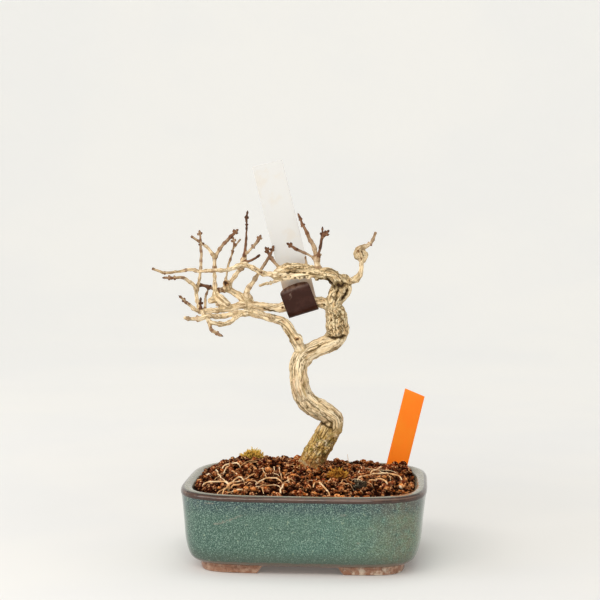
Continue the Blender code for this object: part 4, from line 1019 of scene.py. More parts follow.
@dataclass
class SoilHeap:
    """Granules heaped over the pot's rim, on a bed that fills the pot and is dark as painted shade between
    them.
    """

    half_width_mm: float = 63.0
    half_depth_mm: float = 51.0
    squareness: float = 4.1
    wall_steepness: float = 12
    edge_mm: float = 42.5
    mound_mm: float = 4.5
    mound_squareness: float = 2.6
    mound_steepness: float = 3.5
    left_lift_mm: float = 1.8
    left_span_mm: tuple[float, float] = (-30, -25)
    # Rises: x, y, spread along x and y, and height
    rises_mm: tuple[tuple[float, float, float, float, float], ...] = (
        (-30, 17, 40, 20, 5.6), (0, 8, 14, 12, 1.8), (64, 36, 14, 14, 11.5),
        (28, 42, 27, 9, 3.5),
    )
    bed_sides: int = 96
    bed_rings: int = 26
    bed_gap_mm: float = 0.4
    # Tone of the bed: dark, as painted shade between the granules.
    bed_shade: float = 0.12
    # Lower rings of the bed, inside the pot: height and inset
    bed_foot_mm: tuple[tuple[float, float], ...] = ((30, 1.7), (18, 3.5), (13.5, 6.5), (12.4, 10.5))
    seed: int = 21
    large_granules: int = 1600
    large_shapes: int = 14
    large_radius_mm: tuple[float, float] = (1.2, 2.5)
    large_lift_mm: tuple[float, float] = (-1.2, 0.6)
    small_granules: int = 1900
    small_shapes: int = 12
    small_radius_mm: tuple[float, float] = (0.45, 1.1)
    small_lift_mm: tuple[float, float] = (-0.5, 0.8)
    # Crumbs heaped round the trunk, and dark ones along the back
    collar_crumbs: int = 60
    collar_centre_mm: tuple[float, float] = (2.5, 10)
    collar_reach_mm: tuple[float, float] = (7.5, 12.5)
    dark_crumbs: int = 230
    usual_shade: tuple[float, float] = (0.35, 0.75)
    dark_shade: tuple[float, float] = (0.0, 0.35)
    light_shade: tuple[float, float] = (0.78, 0.94)
    # Chances: under the first a granule is of the usual shade, and over the second it is light
    shade_chances: tuple[float, float] = (0.68, 0.9)
    lighter_right: float = 0.0025
    darker_back: float = 0.4
    darker_back_span_mm: tuple[float, float] = (8, 14)
    # Odd bits that catch the eye: x, y, z over the heap, size and shade
    marked: tuple[tuple[float, float, float, float, float], ...] = (
        (-56.5, -6, 0.8, 1.7, 1.0), (55, -20, 0.8, 1.4, 1.0), (-50, 20, 0.6, 1.9, 0.08),
        (-26, 27, 1.0, 2.5, 0.08), (-15, 28, 1.3, 2.9, 0.05),
        (-5.5, -0.5, 1.2, 1.5, 0.25), (12.8, 7.6, 1.1, 2.0, 0.03), (-7, 22, 1.9, 2.9, 0.5),
        (-3, 22, 2.0, 2.8, 0.55), (2, 24, 1.4, 2.4, 0.6), (26, -26, 1.0, 2.0, 0.08),
        (-33, -33, 1.2, 2.9, 0.04), (-29.5, -31, 1.2, 2.5, 0.03), (44, -26, 0.6, 1.3, 0.97),
        (-27, -35, 1.0, 2.2, 0.02), (-31, -36.5, 1.0, 1.5, 0.9), (-19, 24, 1.6, 1.5, 0.99),
        (-6, 0, 1.2, 1.9, 0.3), (-2, 6, 1.6, 2.2, 0.04), (36, 38, 1.2, 2.2, 0.3),
        (51, 35, 0.9, 2.2, 0.1), (55.6, 34.8, 1.2, 2.7, 0.04), (47, 37, 0.6, 1.8, 0.5),
    )

    def height(self, x: np.ndarray | float, y: np.ndarray | float) -> np.ndarray | float:
        """Gives the heap's height in millimetres.

        Args:
            x: Place from the middle of the pot, to the right.
            y: Place from the middle of the pot, to the back.

        Returns:
            Height over the surface that the pot stands on.
        """
        across, back = np.abs(x) / self.half_width_mm, np.abs(y) / self.half_depth_mm
        power = self.mound_squareness
        reach = (across ** power + back ** power) ** (1 / power)
        wall = np.maximum(0.0, 1 - (across ** self.squareness + back ** self.squareness)
                          ** (self.wall_steepness / self.squareness))
        height = self.edge_mm + self.mound_mm * np.maximum(0.0, 1 - reach ** self.mound_steepness)
        height = height + self.left_lift_mm * ramp(x, *self.left_span_mm)
        for centre_x, centre_y, spread_x, spread_y, rise in self.rises_mm:
            away = ((x - centre_x) / spread_x) ** 2 + ((y - centre_y) / spread_y) ** 2
            height = height + rise * np.exp(-away) * wall
        return height

    def plan(self, inset: float) -> np.ndarray:
        """Gives the heap's outline, drawn in from the pot's inner wall."""
        turns = np.linspace(0, math.tau, self.bed_sides, endpoint=False)
        return round_plan(self.half_width_mm - inset, self.half_depth_mm - inset, self.squareness, turns)

    def bed(self) -> Shape:
        """Shapes the bed under the granules, down to the pot's floor, dark as painted shade in their gaps.

        Returns:
            Its points and faces.
        """
        rings = []
        for share in np.linspace(0.04, 1, self.bed_rings):
            x, y = self.plan(self.bed_gap_mm).T * share
            ripple = [noise.noise(Vector((a / 3, b / 3, 0))) for a, b in zip(x, y)]
            rings.append(np.column_stack((x, y, self.height(x, y) - 1.5 + 0.5 * np.array(ripple))))
        for level, inset in self.bed_foot_mm:
            rings.append(np.column_stack((self.plan(inset), np.full(self.bed_sides, float(level)))))
        return np.vstack(rings), tube_faces(len(rings), self.bed_sides, flipped=True)

    def lightness_at(self, x: float, y: float) -> float:
        """Gives how light the granules are at a place: darker towards the back and lighter towards the
        right.
        """
        return 1.0 + self.lighter_right * x - self.darker_back * float(ramp(y, *self.darker_back_span_mm))

    def crumbs(self, detail: int, count: int, draw: random.Random) -> list[Shape]:
        """Shapes chipped granules of radius one.

        Args:
            detail: How finely each is divided.
            count: How many shapes.
            draw: Source of chance.

        Returns:
            Points and faces of each.
        """
        shapes = []
        round_points, faces = ball(detail)
        for _ in range(count):
            seed = Vector((draw.uniform(0, 50), draw.uniform(0, 50), 0))
            swell = [1 + 0.3 * noise.noise(Vector(point) * 1.3 + seed)
                     + 0.12 * noise.noise(Vector(point) * 3.1 + seed) for point in round_points]
            points = round_points * np.array(swell)[:, None]
            for _ in range(4):
                cut = Vector((draw.gauss(0, 1), draw.gauss(0, 1), draw.gauss(0, 1))).normalized()
                over = np.maximum(points @ np.array(cut) - draw.uniform(0.62, 0.85), 0)
                points = points - over[:, None] * np.array(cut)
            shapes.append((points, faces))
        return shapes

    def scattered(self, count: int, radii: tuple[float, float], lifts: tuple[float, float],
                  shapes: list[Shape], draw: random.Random) -> list[Granule]:
        """Places granules all over the heap, lighter and darker ones mixed.

        Args:
            count: How many.
            radii: Smallest and largest radius.
            lifts: Lowest and highest place over the heap.
            shapes: Shapes that they take.
            draw: Source of chance.

        Returns:
            The granules.
        """
        made: list[Granule] = []
        while len(made) < count:
            radius = radii[0] + (radii[1] - radii[0]) * draw.random() ** 1.5
            half_width, half_depth = self.half_width_mm - 0.8 * radius, self.half_depth_mm - 0.8 * radius
            x = draw.uniform(-1, 1) * half_width
            y = draw.uniform(-1, 1) * half_depth
            if (abs(x) / half_width) ** self.squareness + (abs(y) / half_depth) ** self.squareness > 1:
                continue
            chance = draw.random()
            shade = draw.uniform(*(self.usual_shade if chance < self.shade_chances[0] else self.dark_shade))
            shade = draw.uniform(*self.light_shade) if chance > self.shade_chances[1] else shade
            shade = min(self.light_shade[1], shade * self.lightness_at(x, y))
            made.append((x, y, draw.uniform(*lifts), radius, shade, draw.choice(shapes)))
        return made

    def heaped(self, large: list[Shape], small: list[Shape], draw: random.Random) -> list[Granule]:
        """Places the crumbs round the trunk and the dark ones along the back.

        Args:
            large: Shapes of the dark ones.
            small: Shapes of those round the trunk.
            draw: Source of chance.

        Returns:
            The crumbs.
        """
        made: list[Granule] = []
        (centre_x, centre_y), (near, far) = self.collar_centre_mm, self.collar_reach_mm
        for _ in range(self.collar_crumbs):
            angle, reach = draw.uniform(0, math.tau), draw.uniform(near, far)
            made.append((centre_x + reach * math.cos(angle), centre_y + reach * math.sin(angle),
                         draw.uniform(0.2, 0.9) + (far - reach) * 0.35, draw.uniform(0.5, 1.5),
                         draw.uniform(0.2, 0.8), draw.choice(small)))
        for _ in range(self.dark_crumbs):
            x = draw.uniform(-53, 8)
            y = 27 - 14 * max(0.0, (-30 - x) / 23) ** 1.5 - abs(draw.gauss(0, 5))
            made.append((x, y, draw.uniform(0.0, 1.9), draw.uniform(0.5, 1.7), draw.uniform(0, 0.2),
                         draw.choice(large)))
        return made

    def build(self, finish: bpy.types.Material) -> bpy.types.Object:
        """Heaps bed and granules into one piece.

        Args:
            finish: Material of the granules.

        Returns:
            The piece, which stands for the soil.
        """
        draw = random.Random(self.seed)
        pile = MeshPile()
        pile.add(*self.bed(), self.bed_shade)
        large, small = self.crumbs(2, self.large_shapes, draw), self.crumbs(1, self.small_shapes, draw)
        jobs = self.scattered(self.large_granules, self.large_radius_mm, self.large_lift_mm, large, draw)
        jobs += self.scattered(self.small_granules, self.small_radius_mm, self.small_lift_mm, small, draw)
        jobs += self.heaped(large, small, draw)
        jobs.extend((x, y, lift, size, shade, draw.choice(large)) for x, y, lift, size, shade in self.marked)
        for x, y, lift, radius, shade, (points, faces) in jobs:
            turn = Matrix.Rotation(draw.uniform(0, math.tau), 3, (draw.random(), draw.random(), 1))
            squash = np.array((draw.uniform(0.8, 1.2), draw.uniform(0.8, 1.1), draw.uniform(0.65, 0.95)))
            placed = (points * squash * radius) @ np.array(turn)
            placed = placed + np.array((x, y, float(self.height(x, y)) + lift))
            pile.add(placed, faces, shade)
        heap = pile.made("clay_granules", "shade")
        x, y, z = places_of(heap.data).T
        # How far each point lies below the heap's surface, which the painted shade in the gaps follows.
        keep(heap.data, "depth", self.height(x, y) - z)
        return seat(heap, (finish,), "granular_soil", "soil", sharp_deg=35)


@dataclass
class Pot:
    """Rounded rectangular pot with a soft lip, on four feet cut from one skirt."""

    half_width_mm: float = 70.0
    half_depth_mm: float = 58.0
    rim_mm: float = 45.5
    foot_mm: float = 4.6
    lip_squareness: float = 4.1
    base_squareness: float = 5.5
    foot_squareness: float = 7.0
    sides: int = 192
    notch_top_mm: float = 19.5
    notch_bottom_mm: float = 25.0
    drain_radius_mm: float = 8.0
    drain_offset_mm: float = 27.0
    drill_middle_mm: float = 8.0
    drill_length_mm: float = 12.0
    far_from_rim_mm: float = 60.0
    # Height and inset from the lip's widest line, up the outside and down the inside
    outside: tuple[tuple[float, float], ...] = (
        (4.6, 12), (5.1, 9.8), (7.4, 6.4), (11.5, 4.5), (18, 3.1), (28, 2.1), (40, 0.7), (43, 0),
        (44.6, 0.5), (45.5, 2.4), (45.4, 4.6), (44.4, 6.3), (42.5, 7), (36, 7.6),
    )
    inside: tuple[tuple[float, float], ...] = ((30, 8.2), (18, 10), (13.5, 13), (11, 17))
    # Outside and bottom of a foot, from the body down and up again: height and inset
    foot_section: tuple[tuple[float, float], ...] = (
        (6.4, 11.6), (3.0, 12.0), (0.9, 12.3), (0.3, 12.7), (0.0, 13.5), (0.0, 17.5),
        (0.3, 18.5), (0.9, 18.9), (3.0, 19.0), (6.4, 19.0),
    )
    # Scratches and drips on the front: x and z at both ends, and width
    blemishes: tuple[tuple[float, float, float, float, float], ...] = (
        (-46, 29.5, -38, 32, 0.8), (-38, 32, -30, 35.5, 0.5), (39, 28.6, 39.6, 29.2, 1.1),
        (24, 36, 25, 36.4, 0.7), (4, 24, 9, 26, 0.6), (31, 20, 33, 20.5, 0.5), (-52, 41, -47, 41, 0.5),
    )

    def plan(self, inset: float, exponent: float, turns: np.ndarray) -> np.ndarray:
        """Gives points of the pot's outline, drawn in from its lip."""
        return round_plan(self.half_width_mm - inset, self.half_depth_mm - inset, exponent, turns)

    def squareness(self, height: float) -> float:
        """Gives the plan's exponent at a height: squarer at the base than at the lip."""
        share = min(1.0, max(0.0, (height - self.foot_mm) / (self.rim_mm - self.foot_mm)))
        return self.base_squareness + (self.lip_squareness - self.base_squareness) * share

    def body(self) -> bpy.types.Object:
        """Turns the wall profile into the body, and drills its two drainage holes.

        Returns:
            The body, whose points keep how far along the wall they lie under the lip's widest line.
        """
        curve = smooth_path([(inset, height, 0) for height, inset in self.outside], 0.55)
        profile = np.vstack((curve[:, 1::-1], self.inside))
        run = run_along(profile)
        from_crest = run[int(np.argmax(profile[:, 0]))] - run
        turns = np.linspace(0, math.tau, self.sides, endpoint=False)
        rings = [np.column_stack((self.plan(inset, self.squareness(height), turns),
                                  np.full(self.sides, height))) for height, inset in profile]
        pile = MeshPile()
        pile.add(np.vstack(rings), tube_faces(len(rings), self.sides), np.repeat(from_crest, self.sides))
        body = pile.made("glazed_pot", "from_rim")
        cutters = bpy.data.collections.new("drills")
        for side in (-1, 1):
            bm = bmesh.new()
            centre = ((POT_CENTRE[0] + side * self.drain_offset_mm) * MM, 0, self.drill_middle_mm * MM)
            bmesh.ops.create_cone(bm, cap_ends=True, segments=48, radius1=self.drain_radius_mm * MM,
                                  radius2=self.drain_radius_mm * MM, depth=self.drill_length_mm * MM,
                                  matrix=Matrix.Translation(centre))
            mesh = bpy.data.meshes.new("drill")
            bm.to_mesh(mesh)
            bm.free()
            cutters.objects.link(bpy.data.objects.new("drill", mesh))
        drill = body.modifiers.new("drain_holes", "BOOLEAN")
        drill.operand_type = "COLLECTION"
        drill.collection = cutters
        drill.operation = "DIFFERENCE"
        settle(body)
        for cutter in list(cutters.objects):
            bpy.data.objects.remove(cutter)
        bpy.data.collections.remove(cutters)
        return body

    def foot(self, stations: int = 44) -> Shape:
        """Shapes the front right foot: the skirt's corner between two slanted notches.

        Args:
            stations: Sections along the foot.

        Returns:
            Its points and faces.
        """
        rows = []
        for height, inset in self.foot_section:
            slant = (height + 1) / (self.foot_section[0][0] + 1)
            notch = self.notch_bottom_mm + (self.notch_top_mm - self.notch_bottom_mm) * slant
            half_x, half_y = self.half_width_mm - inset, self.half_depth_mm - inset
            start = math.asin((notch / half_y) ** (self.foot_squareness / 2))
            end = math.acos((notch / half_x) ** (self.foot_squareness / 2))
            line = np.abs(self.plan(inset, self.foot_squareness, np.linspace(start, end, 500)))
            run = run_along(line)
            at = 0.5 - 0.5 * np.cos(np.linspace(0, math.pi, stations))
            rows.append(np.column_stack((np.interp(at * run[-1], run, line[:, 0]),
                                         -np.interp(at * run[-1], run, line[:, 1]),
                                         np.full(stations, height))))
        skin = np.stack(rows, axis=1)
        for end in (0, stations - 1):
            centre = skin[end].mean(axis=0)
            skin[end] = centre + (skin[end] - centre) * np.array((0.85, 0.85, 0.9))
        skin[:, :, 2] = np.maximum(skin[:, :, 2], 0.0)
        return skin.reshape(-1, 3), tube_faces(stations, len(self.foot_section), flipped=True)

    def mark(self, body: bpy.types.Object) -> None:
        """Keeps where the glaze runs thin, where it is marred, where clay is bare, and where a highlight is
        painted along the lip.

        Args:
            body: The pot.
        """
        mesh = body.data
        places = places_of(mesh)
        x, y, z = places.T
        from_rim = np.empty(len(places), np.float32)
        mesh.attributes["from_rim"].data.foreach_get("value", from_rim)
        on_lip = (z > 30) & (from_rim > 0)
        band = np.minimum(ramp(from_rim, 1.8, 0.5), ramp(from_rim, 5.9, -1.1))
        keep(mesh, "lip_band", np.where(on_lip, band, 0))
        # A pale line along the lip: partly thin glaze, partly a painted highlight.
        keep(mesh, "lip_line_and_highlight", np.where(on_lip, np.clip(1 - np.abs(from_rim - 3.5) / 0.6, 0, 1), 0))
        across, back = np.abs(x) / self.half_width_mm, np.abs(y) / self.half_depth_mm
        corner = np.clip(across * back * 1.3 - 0.05, 0, 1) * np.where(x > 0, 1.0, 0.62)
        keep(mesh, "corner", np.where(z < 43, corner, 0))
        keep(mesh, "rightness", x)
        keep(mesh, "height", z + 0.35 * noise_at(places / 5) + 0.25 * noise_at(places / 1.5))
        blemish = np.zeros(len(places))
        for x_start, z_start, x_end, z_end, width in self.blemishes:
            run = np.array((x_end - x_start, z_end - z_start))
            arm = np.column_stack((x - x_start, z - z_start))
            share = np.clip(arm @ run / (run @ run), 0, 1)
            away = np.linalg.norm(arm - share[:, None] * run, axis=1)
            blemish = np.maximum(blemish, np.where(y < 0, np.clip(1.4 - away / width, 0, 1), 0))
        keep(mesh, "blemish", blemish)
        keep(mesh, "deposit", ramp(x, 15, 12) * ramp(z, 4.4, -1.5))

    def build(self, finish: bpy.types.Material) -> bpy.types.Object:
        """Makes the pot with its feet.

        Args:
            finish: Material of glaze and clay.

        Returns:
            The piece, which stands for the pot.
        """
        body = self.body()
        points, faces = self.foot()
        feet = MeshPile()
        for side in (-1, 1):
            for back in (-1, 1):
                turned = points * np.array((side, back, 1))
                flipped = side * back < 0
                feet.add(turned, [tuple(reversed(face)) for face in faces] if flipped else faces,
                         self.far_from_rim_mm)
        absorb(body, feet.made("feet", "from_rim"), align=True)
        self.mark(body)
        return seat(body, (finish,), "teal_glaze", "pot", sharp_deg=32)


@dataclass(frozen=True)
class Zone:
    """A part of the tree: where it starts by height, x and radius, and over what length it fades in.

    A length below nought fades it in towards lower values.
    """

    height_mm: tuple[float, float]
    x_mm: tuple[float, float] | None = None
    radius_mm: tuple[float, float] | None = None


# Where the bark differs: coarse plates on the upper trunk and on the old part of the upper limb,
# wrinkles at the trunk's waist, a knobbly lower trunk with algae, wet wood at the soil, and a grey top
UPPER_TRUNK = Zone((124, 7), (1, 10), (1.2, 1.2))
WAIST = Zone((144, -4))
AGED_LIMB = Zone((163.5, 2), (-19, 6), (2.2, 0.8))
LOWER_TRUNK = Zone((76, -14))
MOSSY_FOOT = Zone((86, -26))
WET_FOOT = Zone((61, -9))
GREY_TOP = Zone((150, 10))


@dataclass
class Skin:
    """The points of the wood, and where each lies on its stem."""

    places: np.ndarray
    normals: np.ndarray
    growth: np.ndarray
    radius: np.ndarray
    brown: np.ndarray
    owner: np.ndarray
    bark: np.ndarray
    upper: np.ndarray = field(init=False)
    aged: np.ndarray = field(init=False)
    lower: np.ndarray = field(init=False)
    vigour: np.ndarray = field(init=False)

    def __post_init__(self) -> None:
        """Works out where the bark differs, and how deeply it furrows."""
        self.upper = self.within(UPPER_TRUNK)
        self.aged = self.within(AGED_LIMB)
        self.lower = self.within(LOWER_TRUNK)
        self.vigour = np.maximum(ramp(self.radius, 0.9, 2.4) * self.bark, 0.85 * self.upper)

    def within(self, zone: Zone) -> np.ndarray:
        """Gives how far each point is inside a zone.

        Args:
            zone: Part of the tree.

        Returns:
            For each point a value from nought to one.
        """
        inside = ramp(self.places[:, 2], *zone.height_mm)
        if zone.x_mm:
            inside = inside * ramp(self.places[:, 0], *zone.x_mm)
        if zone.radius_mm:
            inside = inside * ramp(self.radius, *zone.radius_mm)
        return inside


@dataclass(frozen=True)
class GrainLines:
    """Thin lines of even width that follow the grain, each set with a seed of its own."""

    pitch_mm: float
    run_mm: float
    half_width_mm: float
    seed: float
    probe_mm: float = 0.3
    least_slope: float = 0.3

    def drawn(self, skin: Skin) -> np.ndarray:
        """Draws the lines, whose width is kept even by the slope of the noise beside each point.

        Args:
            skin: Points of the wood.

        Returns:
            For each point a value from nought to one, which is one on a line.
        """
        scale = np.array((1 / self.pitch_mm, 1 / self.pitch_mm, 1 / self.run_mm))
        across, side, along = skin.growth.T
        swing = self.probe_mm / np.maximum(skin.radius, 0.5)
        cos, sin = np.cos(swing), np.sin(swing)
        beside = np.column_stack((across * cos - side * sin, across * sin + side * cos, along))
        here = noise_at(skin.growth * scale, self.seed)
        slope = np.abs(noise_at(beside * scale, self.seed) - here) / self.probe_mm
        away = np.abs(here) / np.maximum(slope, self.least_slope / self.pitch_mm)
        return np.clip(1 - away / self.half_width_mm, 0, 1)


# Distance apart, how far a line runs before it bends, half its width, and its seed
FURROWS = GrainLines(2.9, 17, 0.48, 3.0)
FINE_LINES = (GrainLines(1.5, 8, 0.4, 21.0), GrainLines(2.2, 11, 0.38, 77.0))
WRINKLES = (GrainLines(5.0, 2.6, 0.6, 47.0), GrainLines(2.6, 5.0, 0.55, 53.0))
# Old knob at the crown's fork, whose bark has gone grey: its place and reach
GREY_KNOB: Point = (18, 1, 162.5, 5)


@dataclass
class Stem:
    """One grown axis, with what the bark needs to know along it."""

    end: End
    path: np.ndarray
    axes: np.ndarray
    run: np.ndarray
    brown: np.ndarray


@dataclass
class Tree:
    """Trunk, limbs and twigs grown into one skin, with furrowed bark and paired buds."""

    voxel_mm: float = 0.5
    step_mm: float = 0.9
    furrow_depth_mm: float = 0.5
    thick_mm: float = 3.4
    seam_steps: int = 7
    seam_fade: float = 0.82
    rivals: int = 22
    node_gap_mm: tuple[float, float] = (4.0, 7.0)
    node_swell: float = 0.42
    node_reach_mm: float = 0.7
    sway_mm: float = 0.4
    sway_pitch_mm: float = 3.5
    steady_foot_mm: float = 4.0
    waver: float = 0.16
    waver_pitch_mm: float = 1.4
    bud_mm: float = 1.35
    trunk_sides: int = 24
    twig_sides: int = 12
    seed: int = 8
    stems: list[Stem] = field(default_factory=list)

    def grow_limb(self, points: Sequence[Point]) -> Stem:
        """Turns one row of the thick tables into a living axis.

        Args:
            points: Centre line and thickness.

        Returns:
            The axis.
        """
        path = smooth_path(points, self.step_mm)
        return Stem(End.JOINT, path, carried_axes(path), run_along(path[:, :3]), np.zeros(len(path)))

    def grow_twig(self, twig: Twig, draw: random.Random) -> Stem:
        """Turns a twig into a living axis that swells and darkens at its nodes.

        Args:
            twig: Row of the table.
            draw: Source of chance.

        Returns:
            The axis.
        """
        stem = self.grow_limb(twig.points)
        run, total = stem.run, stem.run[-1]
        share = run / total
        brown = twig.foot_brown + (twig.tip_brown + 0.05 - twig.foot_brown) * share ** 1.1
        node = draw.uniform(1.5, 3.5)
        while node < total:
            near = np.exp(-((run - node) / self.node_reach_mm) ** 2)
            stem.path[:, 3] *= 1 + self.node_swell * draw.uniform(0.5, 1.2) * near
            brown = brown + 0.3 * draw.random() * near
            node += draw.uniform(*self.node_gap_mm)
        offset = Vector((draw.uniform(0, 90), 0, 0))
        for row, at in zip(stem.path, run):
            fade = min(1.0, at / self.steady_foot_mm)
            sway = noise.noise_vector(Vector((at / self.sway_pitch_mm, 0, 0)) + offset)
            row[:3] += np.array(sway) * self.sway_mm * fade
            row[3] *= 1 + self.waver * noise.noise(Vector((at / self.waver_pitch_mm, 5, 0)) + offset)
        return Stem(twig.end, stem.path, stem.axes, run, np.clip(brown, 0, 1))

    def bud_places(self, stem: Stem, draw: random.Random) -> list[tuple[Vector, Vector, float, float]]:
        """Finds where a stem bears buds.

        Args:
            stem: The stem.
            draw: Source of chance.

        Returns:
            Place, direction, width and stretch of each bud.
        """
        tip, heading = Vector(stem.path[-1, :3]), Vector(stem.axes[-1, 0])
        across = heading.cross(Vector((0, 1, 0)))
        across = (across if across.length > 0.3 else heading.orthogonal()).normalized()
        across.rotate(Matrix.Rotation(draw.uniform(-0.8, 0.8), 3, heading))
        width = self.bud_mm * draw.uniform(0.9, 1.15)
        found = []
        if stem.end is End.BUDS:
            found.append((tip - heading * 0.3, heading, width, 1.5))
            for side in (-1, 1):
                lean = (heading + across * side * draw.uniform(0.7, 1.3)).normalized()
                found.append((tip - heading * draw.uniform(1.3, 2.2) + across * side * 0.95, lean,
                              width * draw.uniform(0.9, 1.2), 1.45))
        if stem.end is End.POINT:
            found.append((tip - heading * 0.4, heading, width * 0.85, 2.4))
            for side in (-1, 1):
                lean = (heading + across * side * 0.8).normalized()
                found.append((tip - heading * 3.2 + across * side * 0.8, lean, width * 0.9, 1.4))
        if stem.run[-1] > 16:
            back = int(np.searchsorted(stem.run, stem.run[-1] - draw.uniform(6, 9)))
            place, along = Vector(stem.path[back, :3]), Vector(stem.axes[back, 0])
            out = along.cross(Vector(stem.axes[back, 1])).normalized()
            out.rotate(Matrix.Rotation(draw.uniform(0, math.tau), 3, along))
            reach = stem.path[back, 3] / 2 + 0.1
            for side in (-1, 1):
                lean = (along + out * side * 1.1).normalized()
                found.append((place + out * side * reach, lean, width * 0.8, 1.3))
        return found

    def buds(self, draw: random.Random) -> MeshPile:
        """Sets pointed buds on the twigs, each a little browner than its stem.

        Args:
            draw: Source of chance.

        Returns:
            The buds, with their brownness.
        """
        pile = MeshPile()
        points, faces = ball(2)
        pointed = points.copy()
        pointed[:, :2] *= np.clip(1.25 - 0.8 * np.maximum(points[:, 2:], 0), 0.3, 1.2)
        for stem in self.stems:
            if stem.end is End.JOINT:
                continue
            for place, lean, width, stretch in self.bud_places(stem, draw):
                turn = np.array(lean.to_track_quat("Z", "Y").to_matrix())
                shaped = pointed * np.array((width / 2, width / 2, width * stretch / 2))
                brown = min(1.0, stem.brown[-1] + draw.uniform(-0.1, 0.25))
                tipped = np.clip(brown + 0.3 * points[:, 2], 0, 1)
                pile.add(shaped @ turn.T + np.array(place), faces, tipped)
        return pile

    def samples(self) -> tuple[np.ndarray, ...]:
        """Gathers the axes' points, leaving out ends that start inside a thicker stem.

        Returns:
            For each point its place, radius, axes, distance along the stem, brownness and stem.
        """
        kept: list[tuple] = []
        thick = [(row, stem) for stem in self.stems for row in stem.path if row[3] > self.thick_mm]
        finder = finder_of(row[:3] for row, _ in thick)
        for number, stem in enumerate(self.stems):
            for at, row in enumerate(stem.path):
                _, index, distance = finder.find(row[:3])
                over, owner = thick[index]
                if owner is not stem and row[3] < over[3] * 0.8 and distance < over[3] * 0.62:
                    continue
                kept.append((row[:3], row[3] / 2, stem.axes[at], stem.run[at], stem.brown[at], number))
        return tuple(np.array(column) for column in zip(*kept))

    def seams(self, mesh: bpy.types.Mesh, owner: np.ndarray) -> np.ndarray:
        """Marks where stems meet, fading over a few steps of the mesh.

        Args:
            mesh: Mesh of the wood.
            owner: Number of the stem that each point belongs to.

        Returns:
            For each point a value from nought to one, which is one on a seam.
        """
        pairs = np.empty(len(mesh.edges) * 2, np.int32)
        mesh.edges.foreach_get("vertices", pairs)
        start, end = pairs.reshape(-1, 2).T
        apart = owner[start] != owner[end]
        found = np.zeros(len(owner))
        found[start[apart]] = 1
        found[end[apart]] = 1
        for _ in range(self.seam_steps):
            spread = found.copy()
            np.maximum.at(spread, start, found[end] * self.seam_fade)
            np.maximum.at(spread, end, found[start] * self.seam_fade)
            found = spread
        return found

    def folds(self, skin: Skin) -> np.ndarray:
        """Marks the folds and pits of the front, where shade is painted.

        Args:
            skin: Points of the wood.

        Returns:
            For each point a value from nought to one, which is one in a fold.
        """
        found = np.zeros(len(skin.places))
        flat = skin.places[:, (0, 2)]
        front = ramp(skin.normals[:, 1], 0.35, -0.3) * (skin.radius > 1.2)
        for width, line in FOLDS:
            bent = smooth_path([(x, z, 0) for x, z in line], 0.4)[:, :2]
            wander = noise_at(np.column_stack((bent / 2.0, np.zeros(len(bent)))))
            swell = noise_at(np.column_stack((bent / 1.8, np.ones(len(bent)))))
            away = np.full(len(flat), 9.0)
            for (x, z), shift, wide in zip(bent, wander, swell):
                reach = width * max(0.4, 0.85 + 1.2 * wide)
                away = np.minimum(away, np.hypot(flat[:, 0] - x, flat[:, 1] - z - 0.8 * shift) / reach)
            found = np.maximum(found, np.clip(1.15 - away, 0, 1) * front)
        for x, z, width in PITS:
            away = np.hypot(flat[:, 0] - x, 1.4 * (flat[:, 1] - z)) / width
            found = np.maximum(found, np.clip(1.4 - away, 0, 1) * front)
        return found

    def skin(self, wood: bpy.types.Object, bud_brown: np.ndarray) -> Skin:
        """Finds the stem that each point belongs to, which is the one whose skin is nearest.

        Args:
            wood: The tree, whose last points are its buds.
            bud_brown: Brownness of the buds' points.

        Returns:
            The points, with where each lies on its stem.
        """
        places = places_of(wood.data)
        centres, radii, axes, runs, browns, owners = self.samples()
        finder = finder_of(centres)
        nearest = np.array([min(finder.find_n(place, self.rivals), key=lambda hit: hit[2] - radii[hit[1]])[1]
                            for place in places])
        arms = places - centres[nearest]
        along, across, side = (np.einsum("ij,ij->i", arms, axes[nearest, axis]) for axis in range(3))
        turn = np.arctan2(side, across)
        radius = radii[nearest]
        growth = np.column_stack((radius * np.cos(turn), radius * np.sin(turn), runs[nearest] + along))
        first_bud = len(places) - len(bud_brown)
        bark = np.ones(len(places))
        bark[first_bud:] = 0
        brown = browns[nearest]
        brown[first_bud:] = bud_brown
        normals = vectors(wood.data.vertex_normals, "vector")
        return Skin(places, normals, growth, radius, brown, owners[nearest], bark)

    def furrows(self, skin: Skin, seam: np.ndarray) -> np.ndarray:
        """Draws the bark's furrows, its fine lines and the wrinkles of its old parts.

        Args:
            skin: Points of the wood.
            seam: How near each is to where stems meet.

        Returns:
            For each point a value from nought to one, which is one in a furrow.
        """
        waist = skin.upper * skin.within(WAIST)
        whole = 1 - 0.9 * seam
        furrow = FURROWS.drawn(skin) * skin.vigour
        furrow *= np.clip(0.65 + 1.7 * noise_at(skin.growth / (4, 4, 9), 12.0), 0, 1)
        furrow *= whole * (1 - 0.6 * waist) * (1 - 0.5 * skin.lower)
        fine = np.maximum.reduce([lines.drawn(skin) for lines in FINE_LINES])
        fine *= np.clip(0.5 + 1.9 * noise_at(skin.growth / (3, 3, 6), 31.0), 0, 1)
        fine *= np.clip(skin.vigour + 0.1, 0, 1) * skin.bark * whole * (1 - 0.4 * waist)
        wrinkle = np.maximum.reduce([lines.drawn(skin) for lines in WRINKLES])
        wrinkle *= np.maximum(waist, 0.6 * np.maximum(skin.upper, skin.aged))
        wrinkle *= np.clip(0.7 + 1.6 * noise_at(skin.places / 3, 61.0), 0, 1)
        return np.maximum.reduce((furrow, 0.7 * fine, 0.95 * wrinkle))

